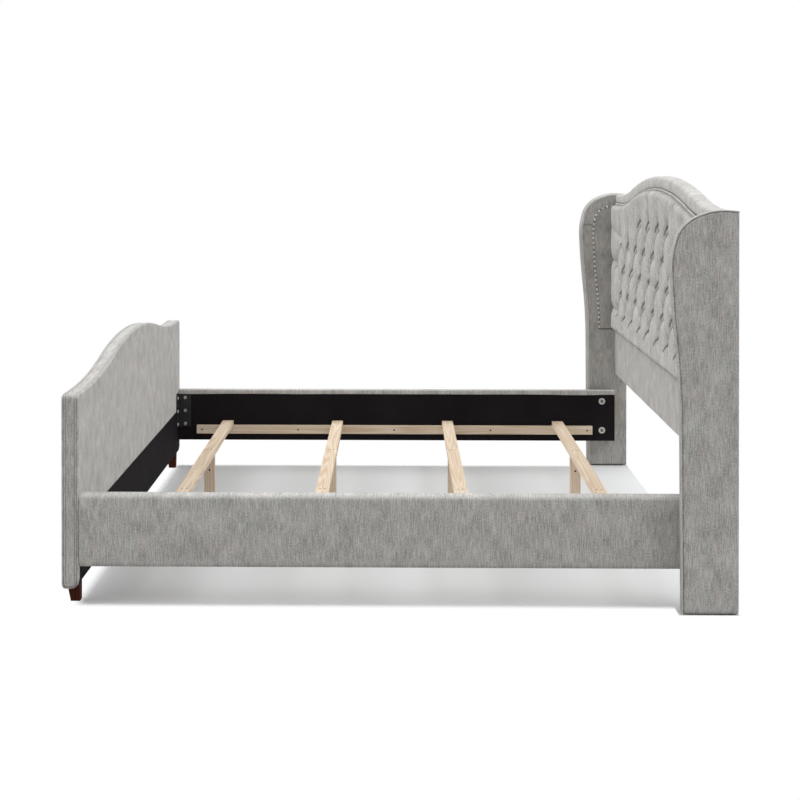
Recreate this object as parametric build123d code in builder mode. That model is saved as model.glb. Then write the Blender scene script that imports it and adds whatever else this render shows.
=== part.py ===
from build123d import *
from math import floor
import os

# An upholstered wingback panel bed for a king mattress: a camelback headboard with a tufted pad between
# two nail-trimmed wings, a camelback footboard on two tapered legs, padded side rails with pine cleats,
# and four pine slats that stand on legs of their own.
# Millimetres. X runs from the foot to the head, Y from the right side to the left, Z up from the floor.
# The origin is on the floor, in the middle of the bed's length and width.

# Mattress, and the play left round it
mattress_length = 2032.0
mattress_width = 1930.0
length_play = 28.0
width_play = 22.0

# Cloth, foam edges and clearances that several pieces share
soft_gap = 0.3
cloth = 2.0
underwrap = 4.0
trim_overrun = 60.0

# Headboard
headboard_underside = 430.0
headboard_shoulder_height = 1281.0
headboard_arch_height = 99.0
headboard_outline_shares = (0.618, 1.019)
border_height = 45.0
border_crown_height = 54.0
welt_outline_shares = (0.510, 0.867)
headboard_welt_radius = 4.5
headboard_ply = 12.0
headboard_frame_depth = 26.0
headboard_frame_width = 60.0
headboard_top_rail_width = 70.0
lower_pad_thickness = 13.0
lower_pad_edge = 5.0
border_thickness = 10.0
border_roll = 8.0
border_top_padding = 12.0
back_cover_inset = 30.0

# Tufted pad
pad_side_margin = 9.0
pad_underside = 641.0
pad_base = 15.0
pillow_height = 25.0
pad_corner_radius = 24.0
tuft_pitch_share = 0.188
tuft_row_share = 0.188
lowest_tuft_share = 0.18
tuft_row_count = 5
side_tuft_count = 4
crown_tuft_count = 4
pillow_foot_share = 0.985
pillow_shoulder_share = 0.80
pillow_shoulder_height_share = 0.62
pillow_crown_share = 0.42
pillow_root = 2.0

# Wings
wing_thickness = 61.0
wing_overtop_height = 3.0
wing_depth = 215.0
wing_foot_share = 0.837
wing_knee_shares = (0.856, 0.467)
wing_curve_shares = (
    (0.921, 0.662),
    (1.0, 0.845),
    (0.935, 0.927),
    (0.651, 0.983),
    (0.256, 1.0),
    (0.0, 0.997),
)
wing_welt_radius = 4.0
wing_glide_height = 5.0
wing_glide_length = 40.0
wing_glide_width = 36.0
wing_glide_margin = 16.0
wing_glide_corner = 6.0
inset_panel_margin = 4.0

# Nailhead trim on the wings
nail_line_inset = 58.0
nail_pitch = 22.0
nail_radius = 5.5
nail_dome = 2.6
nail_rim = 0.5
nail_start_margin = 15.0
nail_end_margin = 54.0

# Side rails
rail_height = 236.0
rail_underside = 125.0
rail_board_thickness = 33.0
rail_foam = 8.0
rail_lip = 20.0
rail_edge_radius = 7.0
rail_head_setback = 9.0

# Cleats on the rails
cleat_height = 38.0
cleat_thickness = 20.0
cleat_margin = 33.0
cleat_foot_setback = 90.0
cleat_head_setback = 116.0
cleat_screw_count = 5
cleat_screw_margin = 25.0

# Slats and their legs
slat_count = 4
slat_width = 50.0
slat_thickness = 21.0
slat_foot_setback = 236.5
slat_head_setback = 278.5
slat_end_gap = 2.0
slat_leg_width = 44.0
slat_leg_thickness = 20.0
slat_leg_share = 0.348
slat_screw_spread = 18.0
leg_screw_height = 131.0

# Footboard
footboard_thickness = 57.0
footboard_underside = 56.0
footboard_shoulder_height = 685.0
footboard_arch_height = 92.0
footboard_outline_shares = (0.455, 0.885)
footboard_pad = 8.0
footboard_pad_roll = 5.0
footboard_top_corner = 10.0
footboard_welt_radius = 2.5
footboard_outer_corner = 16.0
footboard_inner_corner = 26.0
footboard_lining_height = 208.0
footboard_ear_width = 103.0
footboard_ear_margin = 7.0

# Footboard legs
leg_top_width = 41.0
leg_foot_width = 30.0
leg_height = 70.0
leg_end_margin = 39.0
leg_bolt_radius = 4.0
leg_bolt_length = 80.0
leg_bolt_in_leg = 40.0

# Corner brackets
bracket_height = 152.0
bracket_clearance = 2.0
bracket_flange = 60.0
bracket_steel = 3.0
bracket_bolt_count = 3
bracket_bolt_margin = 15.0
bracket_bolt_offset = 33.0

# Bolts and screws
bolt_radius = 4.0
bolt_head_radius = 7.5
bolt_head_height = 4.5
bolt_head_dome = 2.0
bracket_bolt_length = 32.0
rail_bolt_setback = 69.0
rail_bolt_margin = 50.0
rail_bolt_length = 84.0
washer_radius = 15.0
washer_thickness = 2.0
wing_bolt_shares = (0.1, 0.43, 0.78)
wing_bolt_length = 75.0
wing_bolt_sink = 12.0
wing_bolt_clearance = 2.5
screw_head_radius = 4.0
screw_shank_radius = 2.0
screw_head_depth = 2.5
cleat_screw_length = 45.0
slat_screw_length = 55.0
leg_screw_length = 16.0

# Places worked out from the sizes above
bay_length = mattress_length + length_play
rail_inner_y = (mattress_width + width_play) / 2
rail_thickness = cloth + rail_board_thickness + rail_foam
rail_outer_y = rail_inner_y + rail_thickness
rail_top = rail_underside + rail_height
rail_bolt_heights = (rail_underside + rail_bolt_margin, rail_top - rail_bolt_margin)
headboard_depth = lower_pad_thickness + headboard_ply + headboard_frame_depth + cloth
total_length = footboard_thickness + bay_length + headboard_depth
foot_x = -total_length / 2
foot_inner_x = foot_x + footboard_thickness
head_front_x = foot_inner_x + bay_length
head_ply_x = head_front_x + lower_pad_thickness
head_frame_x = head_ply_x + headboard_ply
head_cover_x = head_frame_x + headboard_frame_depth
head_back_x = head_cover_x + cloth
welt_shoulder_height = headboard_shoulder_height - border_height
welt_arch_height = headboard_arch_height + border_height - border_crown_height
wing_height = headboard_shoulder_height + wing_overtop_height
wing_inner_y = rail_outer_y + soft_gap
wing_outer_y = wing_inner_y + wing_thickness
wing_pad = 2 * wing_welt_radius
wing_middle = (head_back_x, wing_height / 2)
cleat_underside = rail_underside + cleat_margin
slat_underside = cleat_underside + cleat_height
slat_pitch = (bay_length - slat_foot_setback - slat_head_setback) / (slat_count - 1)
slat_xs = [foot_inner_x + slat_foot_setback + number * slat_pitch for number in range(slat_count)]
slat_leg_offset = rail_inner_y * slat_leg_share
bracket_top = rail_top - rail_lip - bracket_clearance
bracket_underside = bracket_top - bracket_height
leg_inner_x = foot_inner_x - footboard_pad
leg_inner_y = rail_outer_y - leg_end_margin - leg_top_width

os.makedirs("parts", exist_ok=True)


def save(piece, label):
    """Name a finished piece and write it."""
    piece.part.label = label
    export_step(piece.part, f"parts/{label}.step")


def save_pair(piece, label):
    """Write a piece of the left side and its mirror image on the right side."""
    save(piece, f"{label}_left")
    with BuildPart() as twin:
        mirror(piece.part, about=Plane.XZ)
    save(twin, f"{label}_right")


def side_plane(y):
    """A plane that is seen from the right side: X across, Z up."""
    return Plane(origin=(0, y, 0), x_dir=(1, 0, 0), z_dir=(0, -1, 0))


def moved_in(edge, share, inset, inside):
    """A point of an edge, moved square to it by inset, towards the side on which inside lies."""
    point = edge @ share
    direction = edge % share
    normal = Vector(-direction.Y, direction.X)
    if normal.dot(Vector(*inside) - point) < 0:
        normal = -normal
    return point + normal * inset


def draw_moved(edges, inset, inside):
    """Draw the same lines and arcs again, moved by inset towards the side on which inside lies."""
    for edge in edges:
        start, middle, end = [moved_in(edge, share, inset, inside) for share in (0, 0.5, 1)]
        if edge.geom_type == GeomType.LINE:
            Line(start, end)
        else:
            ThreePointArc(start, middle, end)


def camelback(half_width, shoulder, rise, shares, reach):
    """The line of a camelback top: a crown arc that falls on both sides into level shoulders.

    The knee lies on the chord from the crown to the shoulder, so that both arcs end level. The shoulders
    run out to reach.
    """
    knee_share, end_share = shares
    knee = (half_width * knee_share, shoulder + rise * (1 - knee_share / end_share))
    end = (half_width * end_share, shoulder)
    with BuildLine() as line:
        crown = ThreePointArc((-knee[0], knee[1]), (0, shoulder + rise), knee)
        fall = TangentArc(crown @ 1, end, tangent=crown % 1)
        mirror(fall, about=Plane.YZ)
        if end[0] < reach:
            level = Line(end, (reach, shoulder))
            mirror(level, about=Plane.YZ)
    return line.edges()


def under_line(edges, inset, half_width, bottom):
    """The area under a camelback line, moved in by inset, down to bottom and out to half_width."""
    low = bottom - trim_overrun
    with BuildSketch() as area:
        with BuildLine() as line:
            draw_moved(edges, inset, (0, 0))
            left = line.vertices().sort_by(Axis.X)[0]
            right = line.vertices().sort_by(Axis.X)[-1]
            Polyline((left.X, left.Y), (left.X, low), (right.X, low), (right.X, right.Y))
        make_face()
        tall = right.Y + headboard_arch_height
        with Locations((0, bottom)):
            Rectangle(2 * half_width, 2 * tall, align=(Align.CENTER, Align.MIN), mode=Mode.INTERSECT)
    return area.sketch


def wing_line():
    """The front and top edge of a wing, from the floor glide up and back to its rear corner."""
    foot = (head_back_x - wing_depth * wing_foot_share, wing_glide_height)
    knee = (head_back_x - wing_depth * wing_knee_shares[0], wing_height * wing_knee_shares[1])
    with BuildLine() as line:
        stretch = Line(foot, knee)
        for depth_share, height_share in wing_curve_shares:
            point = (head_back_x - wing_depth * depth_share, wing_height * height_share)
            stretch = TangentArc(stretch @ 1, point, tangent=stretch % 1)
    return line.edges()


def behind_line(edges, inset, bottom):
    """The side-on area of a wing behind its edge line, moved in by inset, from bottom up."""
    low = bottom - trim_overrun
    with BuildSketch() as area:
        with BuildLine() as line:
            draw_moved(edges, inset, wing_middle)
            foot = line.vertices().sort_by(Axis.Y)[0]
            rear = line.vertices().sort_by(Axis.X)[-1]
            beyond = rear.X + trim_overrun
            Polyline((rear.X, rear.Y), (beyond, rear.Y), (beyond, low), (foot.X, low), (foot.X, foot.Y))
        make_face()
        with Locations((head_back_x, bottom)):
            Rectangle(wing_height, 2 * wing_height, align=(Align.MAX, Align.MIN), mode=Mode.INTERSECT)
    return area.sketch


def front_slab(face, x, depth):
    """Build a front-on area into a slab that starts at x and grows towards the head."""
    with BuildSketch(Plane.YZ.offset(x)) as area:
        add(face)
    extrude(area.sketch, amount=depth)


def side_slab(face, y, depth):
    """Build a side-on area into a slab that starts at y and grows to the left."""
    with BuildSketch(side_plane(y)) as area:
        add(face)
    extrude(area.sketch, amount=-depth)


def block(x_from, x_to, y_from, y_to, z_from, z_to, mode=Mode.ADD):
    """A square block between two corners."""
    with Locations((x_from, y_from, z_from)):
        Box(
            x_to - x_from,
            y_to - y_from,
            z_to - z_from,
            align=(Align.MIN, Align.MIN, Align.MIN),
            mode=mode,
        )


def welt_along(edges, inset, inside, plane, radius):
    """Sweep a round welt along an outline that is moved in by inset."""
    with BuildLine() as path:
        draw_moved(edges, inset, inside)
    wire = plane.from_local_coords(path.wires()[0])
    with BuildSketch(Plane(origin=wire @ 0, z_dir=wire % 0)) as section:
        Circle(radius)
    sweep(section.sketch, path=wire)


def fastener(head_radius, head_height, shank_radius, shank_length, dome=0):
    """A headed bolt that stands on the XY plane: its head above it and its shank below."""
    with BuildPart() as bolt:
        Cylinder(head_radius, head_height, align=(Align.CENTER, Align.CENTER, Align.MIN))
        if dome:
            fillet(bolt.edges().sort_by(Axis.Z)[-1], radius=dome)
        Cylinder(shank_radius, shank_length, align=(Align.CENTER, Align.CENTER, Align.MAX))
    return bolt.part


def wood_screw(shank_length):
    """A countersunk screw whose flat head lies in the XY plane, with its shank below it."""
    with BuildPart() as screw:
        Cone(
            screw_shank_radius,
            screw_head_radius,
            screw_head_depth,
            align=(Align.CENTER, Align.CENTER, Align.MAX),
        )
        Cylinder(screw_shank_radius, shank_length, align=(Align.CENTER, Align.CENTER, Align.MAX))
    return screw.part


def set_out(shape, points, facing):
    """Place copies of a shape at points of the left side, each with its top facing one way."""
    with Locations([Plane(origin=point, z_dir=facing) for point in points]):
        add(shape)


# Fasteners come first, because the pieces that they hold are drilled with them

towards_bay = (0, -1, 0)
rail_bolt_x = head_front_x - rail_bolt_setback
rail_bolt_points = [(rail_bolt_x, rail_inner_y - washer_thickness, height) for height in rail_bolt_heights]

with BuildPart() as rail_bolts_one_side:
    bolt = fastener(bolt_head_radius, bolt_head_height, bolt_radius, rail_bolt_length, bolt_head_dome)
    set_out(bolt, rail_bolt_points, towards_bay)

with BuildPart() as washers_one_side:
    with BuildSketch(side_plane(rail_inner_y)):
        with Locations([(rail_bolt_x, height) for height in rail_bolt_heights]):
            Circle(washer_radius)
            Circle(bolt_radius, mode=Mode.SUBTRACT)
    extrude(amount=washer_thickness)

bracket_bolt_pitch = (bracket_height - 2 * bracket_bolt_margin) / (bracket_bolt_count - 1)
bracket_bolt_zs = [
    bracket_underside + bracket_bolt_margin + number * bracket_bolt_pitch
    for number in range(bracket_bolt_count)
]

with BuildPart() as bracket_bolts_one_side:
    bolt = fastener(bolt_head_radius, bolt_head_height, bolt_radius, bracket_bolt_length, bolt_head_dome)
    on_rail = [
        (foot_inner_x + bracket_bolt_offset, rail_inner_y - bracket_steel, height)
        for height in bracket_bolt_zs
    ]
    on_footboard = [
        (foot_inner_x + bracket_steel, rail_inner_y - bracket_bolt_offset, height)
        for height in bracket_bolt_zs
    ]
    set_out(bolt, on_rail, towards_bay)
    set_out(bolt, on_footboard, (1, 0, 0))

cleat_foot_x = foot_inner_x + cleat_foot_setback
cleat_head_x = head_front_x - cleat_head_setback
cleat_inner_y = rail_inner_y - cleat_thickness
cleat_screw_step = (cleat_head_x - cleat_foot_x - 2 * cleat_screw_margin) / (cleat_screw_count - 1)

with BuildPart() as cleat_screws_one_side:
    points = [
        (
            cleat_foot_x + cleat_screw_margin + number * cleat_screw_step,
            cleat_inner_y,
            cleat_underside + cleat_height / 2,
        )
        for number in range(cleat_screw_count)
    ]
    set_out(wood_screw(cleat_screw_length), points, towards_bay)

wing_core_outer_y = wing_outer_y - wing_pad
wing_bolt_x = head_frame_x + headboard_frame_depth / 2
wing_bolt_seat_y = wing_core_outer_y - wing_bolt_sink
bolted_height = headboard_shoulder_height - headboard_underside
wing_bolt_heights = [headboard_underside + bolted_height * share for share in wing_bolt_shares]
wing_bolt_points = [(wing_bolt_x, wing_bolt_seat_y, height) for height in wing_bolt_heights]

with BuildPart() as wing_bolts_one_side:
    bolt = fastener(bolt_head_radius, bolt_head_height, bolt_radius, wing_bolt_length)
    set_out(bolt, wing_bolt_points, (0, 1, 0))

with BuildPart() as leg_bolt:
    bolt_place = (leg_inner_x - leg_foot_width / 2, leg_inner_y + leg_foot_width / 2)
    with Locations((*bolt_place, leg_height - leg_bolt_in_leg)):
        Cylinder(leg_bolt_radius, leg_bolt_length, align=(Align.CENTER, Align.CENTER, Align.MIN))


# Headboard

headboard_line = camelback(
    rail_outer_y,
    headboard_shoulder_height,
    headboard_arch_height,
    headboard_outline_shares,
    rail_outer_y + trim_overrun,
)
welt_line = camelback(
    rail_outer_y,
    welt_shoulder_height,
    welt_arch_height,
    welt_outline_shares,
    rail_outer_y,
)
frame_bottom = headboard_underside + underwrap
pad_top_inset = headboard_welt_radius + soft_gap
post_inner_y = rail_outer_y - headboard_frame_width


def frame_area(inset):
    return under_line(headboard_line, border_top_padding + inset, rail_outer_y, frame_bottom)


with BuildPart() as headboard_panel:
    front_slab(frame_area(0), head_ply_x, headboard_ply)
save(headboard_panel, "headboard_panel")

with BuildPart() as headboard_post:
    front_slab(frame_area(0), head_frame_x, headboard_frame_depth)
    block(
        foot_x,
        head_back_x,
        -rail_outer_y,
        post_inner_y,
        0,
        headboard_shoulder_height + headboard_arch_height,
        mode=Mode.SUBTRACT,
    )
    add(wing_bolts_one_side.part, mode=Mode.SUBTRACT)
save_pair(headboard_post, "headboard_post")

with BuildPart() as headboard_bottom_rail:
    block(
        head_frame_x,
        head_cover_x,
        -post_inner_y,
        post_inner_y,
        frame_bottom,
        frame_bottom + headboard_top_rail_width,
    )
save(headboard_bottom_rail, "headboard_bottom_rail")

with BuildPart() as headboard_top_rail:
    with BuildSketch(Plane.YZ.offset(head_frame_x)):
        add(under_line(headboard_line, border_top_padding, post_inner_y, frame_bottom))
        add(frame_area(headboard_top_rail_width), mode=Mode.SUBTRACT)
    extrude(amount=headboard_frame_depth)
save(headboard_top_rail, "headboard_top_rail")

with BuildPart() as headboard_lower_pad:
    block(
        head_front_x,
        head_ply_x,
        -rail_outer_y,
        rail_outer_y,
        headboard_underside,
        pad_underside - soft_gap,
    )
    front_edges = headboard_lower_pad.faces().sort_by(Axis.X)[0].edges()
    fillet(front_edges, radius=lower_pad_edge)
    block(head_ply_x, head_cover_x, -rail_outer_y, rail_outer_y, headboard_underside, frame_bottom)
save(headboard_lower_pad, "headboard_lower_pad")


def arc_radius(run, drop):
    """The radius of an arc that starts level and falls by drop over run."""
    return (run**2 + drop**2) / (2 * drop)


def pad_top(y):
    """The height of the pad's top edge, which follows the welt's crown arc and its fall."""
    knee_share, end_share = welt_outline_shares
    knee = rail_outer_y * knee_share
    end = rail_outer_y * end_share
    crown_drop = welt_arch_height * knee_share / end_share
    shoulder = welt_shoulder_height - pad_top_inset
    if abs(y) < knee:
        radius = arc_radius(knee, crown_drop)
        return shoulder + welt_arch_height - radius + (radius**2 - y**2) ** 0.5
    radius = arc_radius(end - knee, welt_arch_height - crown_drop)
    return shoulder + radius - (radius**2 - max(end - abs(y), 0) ** 2) ** 0.5


def edge_middle_height(edge):
    """The height of the middle of the border's band at the place of one of its edges."""
    return pad_top(edge.center().Y) + (headboard_shoulder_height - welt_shoulder_height) / 2


with BuildPart() as headboard_border:
    with BuildSketch(Plane.YZ.offset(head_ply_x - border_thickness)):
        add(under_line(headboard_line, 0, rail_outer_y, frame_bottom))
        add(under_line(welt_line, -headboard_welt_radius, rail_outer_y, frame_bottom), mode=Mode.SUBTRACT)
    extrude(amount=border_thickness)
    with BuildSketch(Plane.YZ.offset(head_ply_x)):
        add(under_line(headboard_line, 0, rail_outer_y, frame_bottom))
        add(frame_area(0), mode=Mode.SUBTRACT)
    extrude(amount=headboard_ply + headboard_frame_depth)
    with BuildSketch(Plane.YZ.offset(head_cover_x)):
        add(under_line(headboard_line, 0, rail_outer_y, frame_bottom))
        add(under_line(headboard_line, back_cover_inset, rail_outer_y, frame_bottom), mode=Mode.SUBTRACT)
    extrude(amount=cloth)
    front_face = headboard_border.faces().sort_by(Axis.X)[0]
    crown_edge = [edge for edge in front_face.edges() if edge.center().Z > edge_middle_height(edge)]
    fillet(crown_edge, radius=border_roll)
save(headboard_border, "headboard_border")

with BuildPart() as headboard_welt:
    welt_plane = Plane.YZ.offset(head_ply_x - border_thickness)
    welt_along(welt_line, 0, (0, 0), welt_plane, headboard_welt_radius)
save(headboard_welt, "headboard_welt")

with BuildPart() as headboard_back_cover:
    cover_area = under_line(headboard_line, back_cover_inset, rail_outer_y, headboard_underside)
    front_slab(cover_area, head_cover_x, cloth)
save(headboard_back_cover, "headboard_back_cover")


# Tufted pad: a foam slab whose cloth is drawn down at every tuft, so that it swells into diamonds

pad_half = rail_outer_y - pad_side_margin
pad_slab_x = head_ply_x - pad_base
pad_height = welt_shoulder_height - pad_underside
tuft_pitch = pad_half * tuft_pitch_share
tuft_row_pitch = pad_height * tuft_row_share
lowest_tuft_height = pad_underside + pad_height * lowest_tuft_share
half_pitch = tuft_pitch / 2
row_e, row_d, row_c, row_b, row_a = [
    lowest_tuft_height + number * tuft_row_pitch for number in range(tuft_row_count)
]
last_tuft = side_tuft_count * tuft_pitch


def channel_up(y, tuft_z, tip_z):
    """A swell that runs from a tuft, between the two tufts above it, up to the welt."""
    left, right = y - half_pitch, y + half_pitch
    return [(left, tuft_z), (y, tip_z), (right, tuft_z), (right, pad_top(right)), (left, pad_top(left))]


def channel_down(y, tuft_z, tip_z):
    """A swell that runs from a tuft, between the two tufts below it, down to the pad's lower edge."""
    left, right = y - half_pitch, y + half_pitch
    return [(left, pad_underside), (right, pad_underside), (right, tuft_z), (y, tip_z), (left, tuft_z)]


def centred_row(count):
    """Places of a row of swells, one tuft pitch apart."""
    return [(number - (count - 1) / 2) * tuft_pitch for number in range(count)]


def side_outlines():
    """The swells at the left end of the pad, which run out to its side edge or up past the crown tufts."""
    crown_end = (crown_tuft_count - 1) * half_pitch
    neighbour = crown_end + half_pitch
    end = last_tuft + half_pitch
    return [
        [
            (crown_end, row_a),
            (neighbour, row_b),
            (neighbour, pad_top(neighbour)),
            (crown_end, pad_top(crown_end)),
        ],
        [
            (last_tuft, row_b),
            (end, row_c),
            (pad_half, row_c),
            (pad_half, pad_top(pad_half)),
            (last_tuft, pad_top(last_tuft)),
        ],
        [(end, row_c), (last_tuft, row_d), (end, row_e), (pad_half, row_e), (pad_half, row_c)],
        [(end, row_e), (end, pad_underside), (pad_half, pad_underside), (pad_half, row_e)],
    ]


def pillow_outlines():
    """The corners of every swell of the pad, from tuft to tuft or out to the pad's edge."""
    outlines = []
    full_rows = ((row_b, crown_tuft_count), (row_c, 2 * side_tuft_count + 1), (row_d, 2 * side_tuft_count))
    for z, count in full_rows:
        for y in centred_row(count):
            left, right = y - half_pitch, y + half_pitch
            outlines.append([(left, z), (y, z - tuft_row_pitch), (right, z), (y, z + tuft_row_pitch)])
    outlines += [channel_up(y, row_a, row_b) for y in centred_row(crown_tuft_count - 1)]
    outlines += [channel_down(y, row_e, row_d) for y in centred_row(2 * side_tuft_count + 1)]
    crown_reach = crown_tuft_count * half_pitch
    shoulder_places = [y for y in centred_row(2 * side_tuft_count) if abs(y) > crown_reach]
    outlines += [channel_up(y, row_b, row_c) for y in shoulder_places]
    for outline in side_outlines():
        outlines.append(outline)
        outlines.append([(-y, z) for y, z in outline])
    return outlines


def pillow(outline):
    """A swell with drawn-in sides: three outlines, each smaller than the one below it."""
    middle_y = (min(y for y, z in outline) + max(y for y, z in outline)) / 2
    middle_z = (min(z for y, z in outline) + max(z for y, z in outline)) / 2
    levels = [
        (pad_slab_x + pillow_root, pillow_foot_share),
        (pad_slab_x - pillow_height * pillow_shoulder_height_share, pillow_shoulder_share),
        (pad_slab_x - pillow_height, pillow_crown_share),
    ]
    faces = []
    for x, share in levels:
        corners = [
            (middle_y + (y - middle_y) * share, middle_z + (z - middle_z) * share)
            for y, z in outline
        ]
        with BuildSketch(Plane.YZ.offset(x)) as level:
            Polygon(*corners, align=None)
        faces.append(level.sketch)
    return loft(faces, ruled=True, mode=Mode.PRIVATE)


with BuildPart() as tufted_pad:
    with BuildSketch(Plane.YZ.offset(pad_slab_x)) as slab_area:
        add(under_line(welt_line, pad_top_inset, pad_half, pad_underside))
        fillet(slab_area.vertices().group_by(Axis.Y)[0], radius=pad_corner_radius)
    extrude(amount=pad_base)
    add([pillow(outline) for outline in pillow_outlines()])
save(tufted_pad, "tufted_pad")


# Wings: a board padded on both faces and along its front and top, with welts at the corners

wing_edge = wing_line()
wing_core_y = wing_inner_y + wing_pad

with BuildPart() as wing_core:
    core_area = behind_line(wing_edge, wing_pad, wing_glide_height)
    side_slab(core_area, wing_core_y, wing_core_outer_y - wing_core_y)
    block(head_cover_x, head_back_x, 0, wing_outer_y, 0, wing_height, mode=Mode.SUBTRACT)
    add(wing_bolts_one_side.part, mode=Mode.SUBTRACT)
    add(rail_bolts_one_side.part, mode=Mode.SUBTRACT)
    with BuildSketch(side_plane(wing_core_outer_y)):
        with Locations([(wing_bolt_x, height) for height in wing_bolt_heights]):
            Circle(bolt_head_radius + wing_bolt_clearance)
    extrude(amount=wing_bolt_sink, mode=Mode.SUBTRACT)
save_pair(wing_core, "wing_core")

inset_panel_underside = pad_underside + inset_panel_margin
inset_panel_area = behind_line(wing_edge, nail_line_inset, inset_panel_underside)

with BuildPart() as wing_inner_panel:
    with BuildSketch(side_plane(wing_inner_y)):
        add(behind_line(wing_edge, wing_pad, wing_glide_height))
        add(inset_panel_area, mode=Mode.SUBTRACT)
    extrude(amount=-wing_pad)
    add(rail_bolts_one_side.part, mode=Mode.SUBTRACT)
    add(wing_bolts_one_side.part, mode=Mode.SUBTRACT)
save_pair(wing_inner_panel, "wing_inner_panel")

with BuildPart() as wing_inset_panel:
    side_slab(inset_panel_area, wing_inner_y, wing_pad)
    add(wing_bolts_one_side.part, mode=Mode.SUBTRACT)
save_pair(wing_inset_panel, "wing_inset_panel")

with BuildPart() as wing_outer_panel:
    side_slab(core_area, wing_core_y, wing_outer_y - wing_core_y)
    block(foot_x, head_cover_x, 0, wing_core_outer_y, 0, wing_height, mode=Mode.SUBTRACT)
save_pair(wing_outer_panel, "wing_outer_panel")

with BuildPart() as wing_edge_band:
    with BuildSketch(side_plane(wing_core_y)):
        add(behind_line(wing_edge, 0, wing_glide_height))
        add(behind_line(wing_edge, wing_pad, 0), mode=Mode.SUBTRACT)
    extrude(amount=wing_core_y - wing_core_outer_y)
save_pair(wing_edge_band, "wing_edge_band")

with BuildPart() as wing_welts:
    for y in (wing_inner_y + wing_welt_radius, wing_outer_y - wing_welt_radius):
        welt_along(wing_edge, wing_welt_radius, wing_middle, side_plane(y), wing_welt_radius)
save_pair(wing_welts, "wing_welts")

with BuildPart() as wing_glides:
    foot_line_x = head_back_x - wing_depth * wing_foot_share
    glide_xs = (
        foot_line_x + wing_glide_margin + wing_glide_length / 2,
        head_back_x - wing_glide_margin - wing_glide_length / 2,
    )
    glide_y = (wing_core_y + wing_core_outer_y) / 2
    with BuildSketch():
        with Locations([(x, side * glide_y) for x in glide_xs for side in (-1, 1)]):
            RectangleRounded(wing_glide_length, wing_glide_width, wing_glide_corner)
    extrude(amount=wing_glide_height)
save(wing_glides, "wing_glides")

with BuildPart() as nailhead:
    with BuildSketch(Plane.XZ):
        with BuildLine():
            Line((0, 0), (nail_radius, 0))
            Line((nail_radius, 0), (nail_radius, nail_rim))
            RadiusArc(
                (nail_radius, nail_rim),
                (0, nail_dome),
                -arc_radius(nail_radius, nail_dome - nail_rim),
            )
            Line((0, nail_dome), (0, 0))
        make_face()
    revolve(axis=Axis.Z)


def nail_points():
    """Evenly spaced places along the seam between the inset panel and the border round it."""
    with BuildLine() as seam:
        draw_moved(wing_edge, nail_line_inset, wing_middle)
    wire = seam.wires()[0]
    start = pad_underside + nail_start_margin - wing_glide_height
    span = wire.length - start - nail_end_margin
    count = floor(span / nail_pitch) + 1
    distances = [start + number * nail_pitch for number in range(count)]
    places = [wire.position_at(distance, PositionMode.LENGTH) for distance in distances]
    return [(place.X, wing_inner_y, place.Y) for place in places]


with BuildPart() as nailheads:
    set_out(nailhead.part, nail_points(), towards_bay)
save_pair(nailheads, "nailheads")


# Side rails: a board under foam and cloth, lined in black on its inner face

rail_head_x = head_front_x - rail_head_setback
rail_foot_x = foot_inner_x + soft_gap
board_inner_y = rail_inner_y + cloth
board_outer_y = rail_outer_y - rail_foam
rail_holes = [rail_bolts_one_side.part, bracket_bolts_one_side.part, cleat_screws_one_side.part]

with BuildPart() as rail_board:
    block(
        rail_foot_x,
        rail_head_x,
        board_inner_y,
        board_outer_y,
        rail_underside + underwrap,
        rail_top - underwrap,
    )
    add(rail_holes, mode=Mode.SUBTRACT)
save_pair(rail_board, "rail_board")

with BuildPart() as rail_cover:
    block(rail_foot_x, rail_head_x, rail_inner_y, rail_outer_y, rail_underside, rail_top)
    outer_edges = rail_cover.faces().sort_by(Axis.Y)[-1].edges().filter_by(Axis.X)
    fillet(outer_edges, radius=rail_edge_radius)
    fillet(rail_cover.edges().filter_by(Axis.X).group_by(Axis.Z)[-1].sort_by(Axis.Y)[0], radius=cloth)
    block(
        foot_x,
        head_back_x,
        board_inner_y,
        board_outer_y,
        rail_underside + underwrap,
        rail_top - underwrap,
        mode=Mode.SUBTRACT,
    )
    block(foot_x, head_back_x, 0, board_inner_y, 0, rail_top - rail_lip, mode=Mode.SUBTRACT)
    add(rail_bolts_one_side.part, mode=Mode.SUBTRACT)
save_pair(rail_cover, "rail_cover")

with BuildPart() as rail_lining:
    block(rail_foot_x, rail_head_x, rail_inner_y, board_inner_y, rail_underside, rail_top - rail_lip)
    add(rail_holes, mode=Mode.SUBTRACT)
save_pair(rail_lining, "rail_lining")

with BuildPart() as rail_bolts:
    add(rail_bolts_one_side.part)
    mirror(rail_bolts_one_side.part, about=Plane.XZ)
save(rail_bolts, "rail_bolts")

with BuildPart() as rail_washers:
    add(washers_one_side.part)
    mirror(washers_one_side.part, about=Plane.XZ)
save(rail_washers, "rail_washers")

with BuildPart() as wing_bolts:
    add(wing_bolts_one_side.part)
    mirror(wing_bolts_one_side.part, about=Plane.XZ)
save(wing_bolts, "wing_bolts")

with BuildPart() as cleat:
    block(
        cleat_foot_x,
        cleat_head_x,
        cleat_inner_y,
        rail_inner_y,
        cleat_underside,
        cleat_underside + cleat_height,
    )
    add(cleat_screws_one_side.part, mode=Mode.SUBTRACT)
save_pair(cleat, "cleat")

with BuildPart() as cleat_screws:
    add(cleat_screws_one_side.part)
    mirror(cleat_screws_one_side.part, about=Plane.XZ)
save(cleat_screws, "cleat_screws")

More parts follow.
